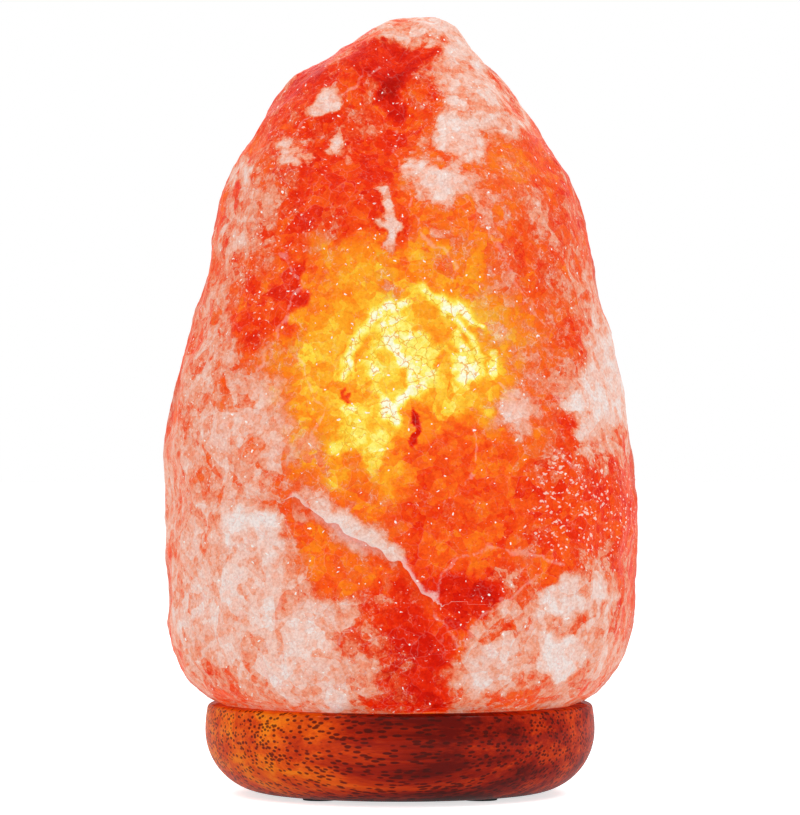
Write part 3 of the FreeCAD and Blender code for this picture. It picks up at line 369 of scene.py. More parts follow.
# Frosted salt, in the same way, with milk from 0, clear, to 1, snow white.
MILKS = [
    (-50, 60, 26, 40, 0, 0.5, 0.70),
    (-56, 76, 12, 26, 0, 0.5, 0.62),
    (-30, 16, 34, 20, 0, 0.5, 0.70),
    (-62, 34, 10, 18, 0, 0.4, 0.72),
    (48, 14, 34, 20, 0, 0.5, 0.60),
    (-46, 55, 9, 6, 20, 0.4, 1.06),
    (-44, 48, 6, 6, 0, 0.4, 0.84),
    (-34, 20, 10, 12, 40, 0.5, 0.86),
    (-23, 8, 9, 9, 0, 0.5, 0.68),
    (-14, 51, 20, 4, -32, 0.4, 0.86),
    (54, 32, 13, 5, 8, 0.35, 0.95),
    (48, 13, 9, 6, 25, 0.4, 0.90),
    (26, 10, 14, 9, 0, 0.5, 0.74),
    (62, 60, 9, 30, -5, 0.6, 0.62),
    (52, 114, 12, 22, -12, 0.5, 0.60),
    (62, 100, 8, 14, -10, 0.5, 0.62),
    (34, 90, 8, 8, -40, 0.3, 0.72),
    (45, 70, 6, 7, -30, 0.4, 0.66),
    (16, 196, 12, 10, -30, 0.4, 0.72),
    (24, 184, 8, 12, 50, 0.4, 0.78),
    (33, 176, 6, 4, 20, 0.4, 0.70),
    (18, 172, 6, 9, 40, 0.3, 0.84),
    (12, 159, 12, 6, -10, 0.3, 0.84),
    (3, 205, 10, 5, 10, 0.4, 0.70),
    (-23, 184, 6, 3, 35, 0.3, 0.84),
    (-18, 168, 3, 5, 35, 0.3, 0.84),
    (-32, 167, 6, 4, -20, 0.3, 0.70),
    (-48, 161, 4, 5, 20, 0.3, 0.74),
    (-44, 150, 10, 8, 0, 0.5, 0.50),
    (-50, 140, 8, 9, 0, 0.5, 0.58),
    (-54, 112, 8, 18, 15, 0.5, 0.52),
    (-60, 92, 8, 14, 0, 0.5, 0.62),
    (30, 134, 10, 10, 0, 0.5, 0.42),
    (48, 146, 10, 14, 0, 0.5, 0.46),
    (-33, 108, 3, 14, 10, 0.4, 0.50),
    (-30, 66, 12, 8, 10, 0.5, 0.44),
    (-60, 180, 30, 12, 50, 0.4, 0.30),
    (-4, 196, 17, 6, 20, 0.4, 0.06),
    (-1.4, 185, 6, 13, 5, 0.3, 0.0),
    (-9, 160, 10, 12, 20, 0.5, 0.14),
    (-24, 158, 7, 9, 20, 0.5, 0.14),
    (-4, 146, 12, 12, 0, 0.5, 0.12),
    (-33, 128, 6, 16, -8, 0.4, 0.10),
    (-42, 118, 8, 8, 0, 0.5, 0.12),
    (5, 24, 12, 24, 0, 0.7, 0.04),
    (18, 33, 11, 9, 0, 0.4, 0.08),
    (-20, 44, 14, 10, -20, 0.5, 0.24),
    (0, 100, 30, 32, 0, 0.3, 0.04),
    (-3, 146, 2.6, 10, 15, 0.3, 0.72),
    (-5, 128, 3.5, 11, 10, 0.35, 0.42),
    (25, 62, 16, 16, 0, 0.4, 0.06),
    (-14, 52, 18, 5, -32, 0.5, 0.92),
    (6, 206, 12, 6, 10, 0.4, 0.74),
    (30, 152, 12, 16, 0, 0.6, 0.38),
    (47, 106, 10, 18, -10, 0.6, 0.48),
    (62, 92, 8, 20, -5, 0.5, 0.88),
    (29, 117, 7, 11, -10, 0.5, 0.50),
    (56, 60, 14, 15, -10, 0.5, 0.14),
    (-48, 32, 18, 16, 0, 0.6, 0.76),
    (-2, 7, 6, 8, 0, 0.6, 0.40),
]
# Short white flecks in the same way, from 0, none, to 1, as dense as they come.
FLECKS = [
    (56, 60, 18, 20, 0, 0.4, 1.0),
    (62, 88, 8, 16, -15, 0.4, 0.7),
    (-60, 84, 10, 30, 0, 0.5, 0.75),
    (-38, 136, 14, 22, -10, 0.4, 0.7),
    (-34, 168, 16, 14, 30, 0.4, 0.6),
    (10, 180, 20, 12, 20, 0.4, 0.5),
    (14, 22, 18, 14, 10, 0.4, 0.5),
    (-24, 14, 26, 12, 0, 0.4, 0.6),
    (2, 104, 34, 34, 0, 0.3, 0.12),
]

# How far each feature reaches from its line, in millimetres, and how deep it is cut or stands proud.
LEDGE_REACH, LEDGE_PROUD, LEDGE_DEPTH = 13, 0.4 * MM, 1.0 * MM
FOLD = [(-2, 197), (-1.4, 186), (-1, 176)]  # upright, below the peak
FOLD_REACH, FOLD_DEPTH = 7, 2.2 * MM
HOLLOW_MIDDLE, HOLLOW_HALF, HOLLOW_DEPTH = (4, 102), (24, 26), 0.7 * MM  # over the bulb
ARC_REACH, ARC_PROUD, ARC_GLOW = 2.2, 0.8 * MM, 0.93

MIDDLING_CHIP, SMALL_CHIP = 0.5 * MM, 0.22 * MM
MEAN_CHIP = 0.55  # share of the chips' depth that is given back, so that the rock keeps its size
FRONT_FROM, FRONT_TO = 14 * MM, -10 * MM  # the front's features come in between these depths
GLOW_BETWEEN, MILK_BETWEEN, FLECK_BETWEEN = 0.36, 0.32, 0.35  # between the front's patches
FLECK_BEHIND = 0.45
RESTING = {"glow": 0.5, "milk": 0.5, "vein": 8.0, "ledge": 20.0, "rim": 0.0, "fleck": 0.3}  # in the bore


def patchwork(values, across, up, patches):
    """Lays tilted soft-edged ovals over values, one after another."""
    for middle, level, half_width, half_height, tilt, soft, target in patches:
        c, s = math.cos(math.radians(tilt)), math.sin(math.radians(tilt))
        du, dv = across - middle, up - level
        reach = np.hypot((du * c + dv * s) / half_width, (dv * c - du * s) / half_height)
        share = step(1 + soft, 1 - soft, reach)
        values = values + share * (target - values)
    return values


def drift(places, *layers):
    """A shift for each point, with a row for each direction. Each layer is the size of its noise in
    millimetres, its reach, and the rows' salts."""
    return sum(np.stack([rough(places, size * MM, salt) for salt in salts]) * reach
               for size, reach, salts in layers)


def chipped(places, depth):
    """How deep the chips between the facets go at each point."""
    warped = places + drift(places, (9, 3, (1.3, 5.9, 8.2))).T * MM
    big, middling, small = chips(warped, 17 * MM), chips(warped, 7 * MM, 4.4), chips(places, 3 * MM, 9.1)
    worked = step(-0.25, 0.35, rough(places, 30 * MM, 12.0))
    return depth * big + MIDDLING_CHIP * middling * worked + SMALL_CHIP * small - MEAN_CHIP * depth


def with_features(sunk, front, view, lines):
    """Adds the ledge, the fold, the hollow over the bulb and its raised edges to the depths."""
    gap, side = line_gap(*lines, LEDGE)
    sunk = sunk + step(LEDGE_REACH, 0, gap) * front * np.where(side > 0, -LEDGE_PROUD, LEDGE_DEPTH)
    sunk = sunk + step(FOLD_REACH, 0, line_gap(*view, FOLD)[0]) * front * FOLD_DEPTH
    hollow = np.hypot(*((view[k] - HOLLOW_MIDDLE[k]) / HOLLOW_HALF[k] for k in (0, 1)))
    sunk = sunk + step(1.0, 0.7, hollow) * front * HOLLOW_DEPTH
    for arc in ARCS:
        sunk = sunk - step(ARC_REACH, 0, line_gap(*lines, arc)[0]) * front * ARC_PROUD
    return sunk


def paint(places, normals, front, view, lines):
    """Painted glow, milk, flecks, painted shade on the turned-away rim, and distances to the veins and
    to the ledge, at each point. The front's come from its patches and lines, and the back's from noise."""
    patched = view + drift(places, (7, 4.5, (21.0, 33.0)), (2.4, 1.8, (41.0, 53.0)))
    # heat is the painted glow: the bulb's light painted through the salt, brightest over the bulb
    heat = patchwork(np.full(len(places), GLOW_BETWEEN), *patched, GLOW_PATCHES)
    milk = patchwork(np.full(len(places), MILK_BETWEEN), *patched, MILKS)
    fleck = patchwork(np.full(len(places), FLECK_BETWEEN), *patched, FLECKS)
    breadth = 1 + 0.8 * rough(places, 6 * MM, 99.0)  # of a line, which is wide here and narrow there
    # Painted light along the arcs: their glow is raised almost to white, and their milk is taken away.
    for arc in ARCS:
        share = step(2.6, 0.2, line_gap(*lines, arc)[0] / breadth)
        heat = heat + share * (ARC_GLOW - heat)
        milk = milk * (1 - share)
    vein = np.full(len(places), RESTING["vein"])
    for line in VEINS:
        vein = np.minimum(vein, line_gap(*lines, line)[0] / breadth)
    gap, side = line_gap(*lines, LEDGE)

    height = (places[:, 2] - SEAT) / MM
    wide, bend = rough(places, 38 * MM, 61.0), rough(places, 22 * MM, 3.1)
    # Painted glow at the back: the bulb's light painted through the salt, brightest about 98 mm above the
    # seat.
    glow_behind = 0.32 + 0.32 * np.exp(-((height - 98) / 40) ** 2) + 0.16 * wide + 0.06 * bend
    milk_behind = 0.42 + 0.35 * rough(places, 30 * MM, 71.0) + 0.3 * step(60, 5, height)
    pairs = {"glow": (heat, glow_behind), "milk": (milk, milk_behind), "vein": (vein, RESTING["vein"]),
             "ledge": (gap * side, RESTING["ledge"]), "fleck": (fleck, FLECK_BEHIND)}
    values = {name: front * ahead + (1 - front) * behind for name, (ahead, behind) in pairs.items()}
    # Painted shade: where the surface turns side-on to the front, near the upright plane through the axis,
    # the salt is painted a darker red.
    values["rim"] = step(0.2, 0.0, np.abs(normals[:, 1])) * step(60 * MM, 30 * MM, np.abs(places[:, 1]))
    return values


def carve_rock(bm, settings):
    """Chips the outer face, cuts the front's features, and paints the salt."""
    layers = {name: bm.verts.layers.float.new(name) for name in RESTING}
    bm.normal_update()
    outer = [v for v in bm.verts if v.co.z > CARVED_FROM and is_outside(v)]
    places = np.array([v.co[:] for v in outer])
    normals = np.array([v.normal[:] for v in outer])
    view = seen_from_front(places)
    lines = view + drift(places, (4, 1.8, (83.0, 91.0)))
    front = step(FRONT_FROM, FRONT_TO, places[:, 1])

    sunk = with_features(chipped(places, settings.chip_depth), front, view, lines)
    moved = np.clip(places - normals * sunk[:, None], ROCK_LOW[:], ROCK_HIGH[:])
    moved[:, 2] = np.maximum(moved[:, 2], CARVED_FROM)
    for vert, place in zip(outer, moved):
        vert.co = place

    values = paint(places, normals, front, view, lines)
    for vert in bm.verts:
        for name, resting in RESTING.items():
            vert[layers[name]] = resting
    for name, layer in layers.items():
        for vert, value in zip(outer, values[name]):
            vert[layer] = float(value)


# ---------------------------------------------------------------- the rock's salt

def salt_ground(tree, painted_in, cells, cloud, mottle, grit):
    """Clear salt by its painted glow of the bulb's light, frosted salt by its milk, the share of frost, and
    the two as one.
    """
    # heat is the painted glow with noise, which picks the clear salt's colour from dark red up to the bulb's
    # painted light
    heat = weighed(tree, painted_in["glow"], [
        (cells[0].outputs[0], 0.10), (cells[1].outputs[0], 0.13), (cells[2].outputs[0], 0.12),
        (cloud, 0.26), (mottle, 0.16), (grit, 0.05)])
    heat = add(tree, "Math", (heat, 0.415), operation="SUBTRACT")
    milk = weighed(tree, painted_in["milk"], [
        (cells[0].outputs[1], 0.20), (cells[1].outputs[1], 0.22), (cells[2].outputs[1], 0.18),
        (cloud, -0.4), (mottle, 0.50), (grit, 0.25)])
    milk = add(tree, "Math", (milk, 0.50), operation="SUBTRACT")
    clear = add(tree, "ValToRGB", (heat,), stops=[
        (0.0, "#B80C00"), (1.0, "#FFFFE0"), (0.14, "#D81600"), (0.28, "#EE2E04"), (0.42, "#FA5A14"),
        (0.56, "#FF8416"), (0.68, "#FFA822"), (0.80, "#FFD840"), (0.90, "#FFF478")])
    frost = add(tree, "ValToRGB", (milk,), stops=[
        (0.26, "#F04A1C"), (1.0, "#F6E6E0"), (0.42, "#F26A3C"), (0.60, "#F6A080"), (0.80, "#F8CCBC")])
    # warmth is painted light: near the bulb's painted glow, the frost takes some of the clear salt's lit
    # colour
    warmth = add(tree, "MapRange", {"Value": painted_in["glow"], "From Min": 0.40, "From Max": 0.75,
                                    "To Max": 0.6}, interpolation_type="SMOOTHSTEP")
    frost = add(tree, "Mix", {0: warmth, 6: frost, 7: clear}, out=2, data_type="RGBA")
    milky = add(tree, "MapRange", {"Value": milk, "From Min": 0.16, "From Max": 0.60},
                interpolation_type="SMOOTHSTEP")
    body = add(tree, "Mix", {0: milky, 6: clear, 7: frost}, out=2, data_type="RGBA")
    return clear, milky, body


def crystal_lines(tree, vein_in, bent, curled, cloud, mottle, milky):
    """Fine swirls, which are strongest in the frost, and the share of all pale lines: the swirls, the
    seams between large crystals, and the veins."""
    edges = add(tree, "TexVoronoi", {"Vector": bent, "Scale": 1 / 5.5}, feature="DISTANCE_TO_EDGE")
    seams = add(tree, "MapRange", {"Value": edges, "From Min": 0.035, "From Max": 0.0},
                interpolation_type="SMOOTHSTEP")
    parted = add(tree, "MapRange", {"Value": cloud, "From Min": 0.48, "From Max": 0.60})
    seams = add(tree, "Math", (seams, parted), operation="MULTIPLY")
    swirls = add(tree, "TexVoronoi", {"Vector": curled, "Scale": 1 / 1.9}, feature="DISTANCE_TO_EDGE")
    swirl = add(tree, "MapRange", {"Value": swirls, "From Min": 0.10, "From Max": 0.0},
                interpolation_type="SMOOTHSTEP")
    broken = add(tree, "MapRange", {"Value": mottle, "From Min": 0.46, "From Max": 0.62},
                 interpolation_type="SMOOTHSTEP")
    swirl = add(tree, "Math", (swirl, broken), operation="MULTIPLY")
    fine = add(tree, "MapRange", {"Value": milky, "To Min": 0.10, "To Max": 0.75})
    swirl = add(tree, "Math", (swirl, fine), operation="MULTIPLY")
    frayed = add(tree, "Math", (mottle, 2.2, vein_in), operation="MULTIPLY_ADD")
    vein = add(tree, "MapRange", {"Value": frayed, "From Min": 1.75, "From Max": 1.1},
               interpolation_type="SMOOTHSTEP")
    return swirl, weighed(tree, 0.0, [(seams, 0.12), (swirl, 1.0), (vein, 0.36)])


def ledge_light(tree, ledge_in, mottle):
    """The shade below the ledge's line, and the ragged bright lip above it."""
    shadow = add(tree, "MapRange", {"Value": ledge_in, "From Min": -5.0, "From Max": -0.2},
                 interpolation_type="SMOOTHSTEP")
    below = add(tree, "Math", (ledge_in, 0.0), operation="LESS_THAN")
    shadow = add(tree, "Math", (shadow, below), operation="MULTIPLY")
    shadow = add(tree, "Math", (shadow, 0.55), operation="MULTIPLY")
    ragged = add(tree, "Math", (mottle, 6.0, ledge_in), operation="MULTIPLY_ADD")
    lip = add(tree, "MapRange", {"Value": ragged, "From Min": 5.2, "From Max": 3.2},
              interpolation_type="SMOOTHSTEP")
    over = add(tree, "Math", (ledge_in, 0.0), operation="GREATER_THAN")
    lip = add(tree, "Math", (lip, over), operation="MULTIPLY")
    lip = add(tree, "Math", (lip, 0.5), operation="MULTIPLY")
    return shadow, lip


def cracks_in_glow(tree, glow_in, curled):
    """Cracks round small shards, where the painted glow is brightest, in the amber of the bulb's painted
    light.
    """
    shards = add(tree, "TexVoronoi", {"Vector": curled, "Scale": 1 / 3.4}, feature="DISTANCE_TO_EDGE")
    crack = add(tree, "MapRange", {"Value": shards, "From Min": 0.055, "From Max": 0.015},
                interpolation_type="SMOOTHSTEP")
    # hot is the share of the brightest painted glow, where the cracks show
    hot = add(tree, "MapRange", {"Value": glow_in, "From Min": 0.74, "From Max": 0.86, "To Max": 0.75})
    return add(tree, "Math", (crack, hot), operation="MULTIPLY")


def specks_and_glints(tree, curled):
    """Round white specks of all sizes up to half a crystal, in some of the crystals: partly white crystals,
    partly painted glints.
    """
    crystals = add(tree, "TexVoronoi", {"Vector": curled, "Scale": 1 / 2.1}, out="Distance").node
    chosen = add(tree, "SeparateColor", (crystals.outputs["Color"],)).node
    span = add(tree, "Math", (chosen.outputs[0], 0.34, -0.14), operation="MULTIPLY_ADD")
    inside = add(tree, "Math", (span, crystals.outputs["Distance"]), operation="SUBTRACT")
    return add(tree, "MapRange", {"Value": inside, "From Min": -0.01, "From Max": 0.05})


def slanted_flakes(tree, fleck_in, curled):
    """Flakes that lie aslant, as dense as the flecks are painted."""
    slanted = add(tree, "Mapping", {"Vector": curled, "Rotation": (0, 0.6, 0), "Scale": (0.6, 1, 1.3)})
    flakes = add(tree, "TexVoronoi", {"Vector": slanted, "Scale": 1 / 1.3}, out="Distance").node
    chosen = add(tree, "SeparateColor", (flakes.outputs["Color"],)).node
    span = add(tree, "Math", (chosen.outputs[0], fleck_in), operation="MULTIPLY")
    span = add(tree, "Math", (span, 0.55, -0.06), operation="MULTIPLY_ADD")
    inside = add(tree, "Math", (span, flakes.outputs["Distance"]), operation="SUBTRACT")
    return add(tree, "MapRange", {"Value": inside, "From Min": -0.03, "From Max": 0.10, "To Max": 0.75})


def rock_salt():
    """Rock salt, hewn and washed: clear red to amber salt with frosted pink and white patches, lit by
    a bulb inside. The light from within is emission, and the frost scatters the room's light. Each
    noise bends the coordinates of finer ones, so that no edge in the salt runs straight."""
    material, tree, shader = new_material(
        "rock_salt_lit_from_inside", Roughness=0.42, IOR=1.54, Specular_IOR_Level=0.04)
    mm = in_millimetres(tree)
    slow = add(tree, "TexNoise", {"Vector": mm, "Scale": 1 / 9, "Detail": 3.0}, out="Color")
    bent = add(tree, "VectorMath", (slow, (7, 7, 7), mm), operation="MULTIPLY_ADD")
    quick = add(tree, "TexNoise", {"Vector": mm, "Scale": 1 / 1.7, "Detail": 2.0}, out="Color")
    curled = add(tree, "VectorMath", (quick, (2.4, 2.4, 2.4), mm), operation="MULTIPLY_ADD")
    cells = []
    for vector, size in ((bent, 13), (bent, 5.5), (curled, 2.2)):
        colour = add(tree, "TexVoronoi", {"Vector": vector, "Scale": 1 / size}, out="Color")
        cells.append(add(tree, "SeparateColor", (colour,)).node)
    cloud = add(tree, "TexNoise", {"Vector": bent, "Scale": 1 / 16, "Detail": 6.0, "Roughness": 0.6})
    mottle = add(tree, "TexNoise", {"Vector": curled, "Scale": 1 / 2.6, "Detail": 5.0, "Roughness": 0.65})
    grit = add(tree, "TexNoise", {"Vector": mm, "Scale": 1 / 0.8, "Detail": 3.0, "Roughness": 0.7})
    painted_in = {name: add(tree, "Attribute", out="Fac", attribute_name=name) for name in RESTING}

    clear, milky, body = salt_ground(tree, painted_in, cells, cloud, mottle, grit)
    swirl, lines = crystal_lines(tree, painted_in["vein"], bent, curled, cloud, mottle, milky)
    pale = add(tree, "Mix", {0: 0.55, 6: clear, 7: srgb("#FFF0E4")}, out=2, data_type="RGBA")
    shadow, lip = ledge_light(tree, painted_in["ledge"], mottle)
    # rim is painted shade, a darker red at the side-on rim, at half strength
    rim = add(tree, "Math", (painted_in["rim"], 0.5), operation="MULTIPLY")
    # Laid over the body: pale lines, the painted shade below the ledge, its pale lip, the rim's painted
    # shade, the cracks in the painted glow, white specks with painted glints, and the flakes.
    for share, colour in (
            (lines, pale), (shadow, srgb("#F04A10")), (lip, srgb("#FFEDE6")), (rim, srgb("#C82408")),
            (cracks_in_glow(tree, painted_in["glow"], curled), srgb("#F09A1E")),
            (specks_and_glints(tree, curled), srgb("#FFF6F0")),
            (slanted_flakes(tree, painted_in["fleck"], curled), srgb("#FFDCCE"))):
        body = add(tree, "Mix", {0: share, 6: body, 7: colour}, out=2, data_type="RGBA")

    # Painted fine shade: the grit noise scales the salt's colour between 0.90 and 1.07, darker in small
    # spots.
    painted_grit_shade = add(tree, "MapRange", {"Value": grit, "From Min": 0.34, "From Max": 0.6, "To Min": 0.90,
                                  "To Max": 1.07})
    body = add(tree, "VectorMath", {"Vector": body, "Scale": painted_grit_shade}, operation="SCALE")
    within = add(tree, "MapRange", {"Value": milky, "To Min": 0.88, "To Max": 0.50})
    without = add(tree, "Math", (1.0, within), operation="SUBTRACT")
    for share, socket in ((without, "Base Color"), (within, "Emission Color")):
        part = add(tree, "Mix", {0: share, 6: srgb("#000000"), 7: body}, out=2, data_type="RGBA")
        tree.links.new(part, shader.inputs[socket])
    shader.inputs["Emission Strength"].default_value = bpy.context.scene.rock_settings.glow

    relief = weighed(tree, 0.0, [(cells[1].outputs[2], 0.35), (cells[2].outputs[2], 0.25), (mottle, 0.9),
                                 (swirl, 0.25)])
    bump = add(tree, "Bump", {"Height": relief, "Strength": 0.85, "Distance": 0.7 * MM}, out="Normal")
    tree.links.new(bump, shader.inputs["Normal"])
    return material


class SALTLAMP_OT_rock(bpy.types.Operator):
    """Carves and paints the block of rock salt"""
    bl_idname = "saltlamp.rock"
    bl_label = "Rock salt block"

    def execute(self, context):
        settings = context.scene.rock_settings
        bm = divided_rock(settings.mesh_edge)
        carve_rock(bm, settings)
        if len(bm.faces) > MOST_TRIANGLES:
            raise RuntimeError(f"the rock has {len(bm.faces)} triangles")
        finished("rock_salt_block", bm, rock_salt(), "lamp", "rock_salt", "salt_crystal")
        return {"FINISHED"}


# ---------------------------------------------------------------- the base

def varnished_wood():
    """Stained hardwood, turned and gloss varnished: long grain across the lamp, dark open pores drawn
    out along it, and a clear coat that gives the crisp highlights."""
    settings = bpy.context.scene.wood_settings
    material, tree, shader = new_material(
        "varnished_hardwood", Roughness=0.45, Specular_IOR_Level=0.0, Coat_Weight=0.16, Coat_Roughness=0.07)
    mm = in_millimetres(tree)
    long_grain = add(tree, "Mapping", {"Vector": mm, "Rotation": (0, 0.05, 0.04), "Scale": (0.07, 1.0, 1.0)})
    sway = add(tree, "TexNoise", {"Vector": long_grain, "Scale": 1 / 14, "Detail": 2.0}, out="Color")
    grain = add(tree, "VectorMath", (sway, (9, 9, 9), long_grain), operation="MULTIPLY_ADD")
    bands = add(tree, "TexNoise", {"Vector": grain, "Scale": 1 / 7, "Detail": 6.0, "Roughness": 0.62})
    fibre = add(tree, "TexNoise", {"Vector": long_grain, "Scale": 1 / 0.8, "Detail": 4.0,
                                   "Roughness": 0.6})
    stretched = add(tree, "Mapping", {"Vector": mm, "Rotation": (0, 0.05, 0.04), "Scale": (0.30, 1.0, 1.0)})
    pores = add(tree, "TexVoronoi", {"Vector": stretched, "Scale": 1 / 1.1}, out="Distance").node
    pore = add(tree, "MapRange", {"Value": pores.outputs["Distance"], "From Min": 0.46, "From Max": 0.32},
               interpolation_type="SMOOTHSTEP")
    kept = add(tree, "SeparateColor", (pores.outputs["Color"],)).node
    some = add(tree, "Math", (kept.outputs[0], 0.15), operation="GREATER_THAN")
    pore = add(tree, "Math", (pore, some), operation="MULTIPLY")
    axes = add(tree, "SeparateXYZ", (mm,)).node
    lean = add(tree, "MapRange", {"Value": axes.outputs["X"], "From Min": -35.0, "From Max": 12.0})
    redder = add(tree, "MapRange", {"Value": axes.outputs["X"], "From Min": 14.0, "From Max": 48.0})
    tone = weighed(tree, -0.22, [(bands, 1.1), (lean, 0.44), (redder, -0.16), (fibre, 0.25)])
    wood = add(tree, "ValToRGB", (tone,), stops=[
        (0.32, "#FF8C14"), (0.96, "#6A0A00"), (0.46, "#F2640A"), (0.60, "#D84004"), (0.78, "#A81E00")])
    dark = add(tree, "Mix", {0: 0.85, 6: wood, 7: settings.pore}, out=2, data_type="RGBA")
    wood = add(tree, "Mix", {0: pore, 6: wood, 7: dark}, out=2, data_type="RGBA")
    tree.links.new(wood, shader.inputs["Base Color"])
    relief = weighed(tree, 0.0, [(pore, -0.8), (fibre, 0.4)])
    bump = add(tree, "Bump", {"Height": relief, "Strength": 0.35, "Distance": 0.15 * MM}, out="Normal")
    tree.links.new(bump, shader.inputs["Normal"])
    return material


class SALTLAMP_OT_base(bpy.types.Operator):
    """Stains and varnishes the turned base"""
    bl_idname = "saltlamp.base"
    bl_label = "Wooden base"

    def execute(self, context):
        painted(varnished_wood(), "wood_base")
        painted(zinc_plated_steel(), "base_screws")
        painted(moulded_rubber(), "foot_front_left", "foot_front_right", "foot_back_left", "foot_back_right")
        return {"FINISHED"}


# ---------------------------------------------------------------- lampholder

THREAD_STEPS = 48  # in one turn of a thread
WAVE_POINTS = 10  # along one turn of a rolled thread
SHEET = 0.3 * MM  # walls of the sleeve and the cap
CAP_CREST = 6.95 * MM  # the bulb cap's radius over its thread
SLEEVE_WINDOW = 4.5 * MM  # radius of the hole in the sleeve's floor
RIDGE_PROUD = 0.55 * MM  # the barrel's thread stands this far out of it
RIDGE_SUNK = 0.2 * MM  # and is rooted this deep in it


def turn_thread(bm, section, pitch, low, high):
    """Winds a section about the upright axis as a right-handed thread, and trims it to two levels."""
    bmesh.ops.spin(bm, geom=section, cent=(0, 0, 0), axis=(0, 0, 1), dvec=(0, 0, pitch / THREAD_STEPS),
                   angle=2 * math.pi, steps=THREAD_STEPS, use_duplicate=False)
    bmesh.ops.remove_doubles(bm, verts=bm.verts, dist=WELD)
    for level, away in ((low, -1), (high, 1)):
        bmesh.ops.bisect_plane(bm, geom=bm.verts[:] + bm.edges[:] + bm.faces[:], dist=WELD / 10,
                               plane_co=(0, 0, level), plane_no=(0, 0, away), clear_outer=True)


def put_in_order(bm):
    """Turns the faces outwards, and sorts points, edges and faces by place, because spin makes them in
    an order that changes from run to run."""
    bmesh.ops.recalc_face_normals(bm, faces=bm.faces)
    for parts, rank in ((bm.verts, lambda vert: vert.co[:]),
                        (bm.edges, lambda edge: sorted(v.index for v in edge.verts)),
                        (bm.faces, lambda face: sorted(v.index for v in face.verts))):
        for number, part in enumerate(sorted(parts, key=rank)):
            part.index = number
        parts.sort()
    return bm


def rolled_sheet(crest, root, low, high):
    """An open sheet rolled to a rounded thread between two levels. The crests of all such sheets lie
    on one helix, so that the bulb's cap runs in its sleeve."""
    pitch = bpy.context.scene.fitting_settings.cap_pitch
    bm = bmesh.new()
    turns = math.ceil((high - low) / pitch) + 3
    start = (math.floor(low / pitch) - 2) * pitch
    section = []
    for number in range(turns * WAVE_POINTS + 1):
        wave = math.cos(2 * math.pi * number / WAVE_POINTS)
        radius = (crest + root) / 2 + (crest - root) / 2 * wave
        section.append(bm.verts.new((radius, 0, start + pitch * number / WAVE_POINTS)))
    section += [bm.edges.new(pair) for pair in zip(section, section[1:])]
    turn_thread(bm, section, pitch, low, high)
    return bm


def rim_at(bm, level):
    """The open edges of a sheet at a level."""
    rim = [e for e in bm.edges if e.is_boundary and all(abs(v.co.z - level) < 2 * WELD for v in e.verts)]
    if not rim:
        raise RuntimeError(f"no open edge at {level}")
    return rim


def drawn_on(bm, ring, *circles):
    """Extrudes an open ring of edges to true circles, each a radius and a level, one after another."""
    for radius, level in circles:
        made = bmesh.ops.extrude_edge_only(bm, edges=ring)["geom"]
        new = [v for v in made if isinstance(v, bmesh.types.BMVert)]
        for vert in new:
            flat = Vector((vert.co.x, vert.co.y, 0)).normalized() * radius
            vert.co = (flat.x, flat.y, level)
        ring = [e for e in dict.fromkeys(e for v in new for e in v.link_edges)
                if e.verts[0] in new and e.verts[1] in new]


def sheet_metal(piece):
    """Gives an open sheet its wall, inwards from its outer face."""
    wall = piece.modifiers.new("sheet", "SOLIDIFY")
    wall.thickness = SHEET
    wall.offset = -1


def barrel_thread(settings):
    """The coarse thread on the barrel, above the ring nut."""
    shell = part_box("holder_shell")[1]
    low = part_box("clamp_ring")[1].z + 0.3 * MM
    high = shell.z - 1.4 * MM
    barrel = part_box("bulb_glass")[1].x  # the barrel is as wide as the bulb
    pitch = settings.barrel_pitch
    bm = bmesh.new()
    section = []
    for number in range(math.ceil((high - low) / pitch) + 3):
        foot = low + (number - 2) * pitch
        corners = [(barrel - RIDGE_SUNK, foot), (barrel - RIDGE_SUNK, foot + 0.80 * pitch),
                   (barrel + RIDGE_PROUD, foot + 0.55 * pitch), (barrel + RIDGE_PROUD, foot + 0.25 * pitch)]
        ridge = [bm.verts.new((x, 0, z)) for x, z in corners]
        section += ridge + [bm.edges.new((ridge[k - 1], ridge[k])) for k in range(len(ridge))]
    turn_thread(bm, section, pitch, low, high)
    bmesh.ops.holes_fill(bm, edges=[e for e in bm.edges if e.is_boundary], sides=0)
    return put_in_order(bm)


def threaded_sleeve():
    """The brass sleeve: a rolled thread between a flat floor with a window and a plain rim."""
    box_low, box_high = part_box("screw_shell")
    outer = box_high.x
    low, high = box_low.z + 1.6 * MM, box_high.z - 1.2 * MM
    bm = rolled_sheet(outer - 0.1 * MM, outer - 0.5 * MM, low, high)
    drawn_on(bm, rim_at(bm, high), (outer, high + 0.6 * MM), (outer, box_high.z))
    drawn_on(bm, rim_at(bm, low), (outer - 0.1 * MM, low - 0.8 * MM), (outer - 0.6 * MM, box_low.z),
             (SLEEVE_WINDOW, box_low.z))
    return put_in_order(bm)


def threaded_cap():
    """The bulb's thin cap: a cone over the black glass, a rolled thread, and a skirt round the neck."""
    box_low, box_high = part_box("bulb_cap")
    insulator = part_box("cap_insulator")[1].x
    skirt = box_high.x
    low, high = box_low.z + 1.1 * MM, box_low.z + 12.6 * MM
    bm = rolled_sheet(CAP_CREST, CAP_CREST - 0.55 * MM, low, high)
    drawn_on(bm, rim_at(bm, high), (CAP_CREST - 0.1 * MM, high + 0.6 * MM),
             (skirt - 0.5 * MM, high + 1.9 * MM), (skirt, high + 2.6 * MM),
             (skirt, box_high.z - 0.8 * MM), (skirt - 0.15 * MM, box_high.z))
    drawn_on(bm, rim_at(bm, low), (CAP_CREST - 0.3 * MM, low - 0.4 * MM), (insulator, box_low.z))
    return put_in_order(bm)


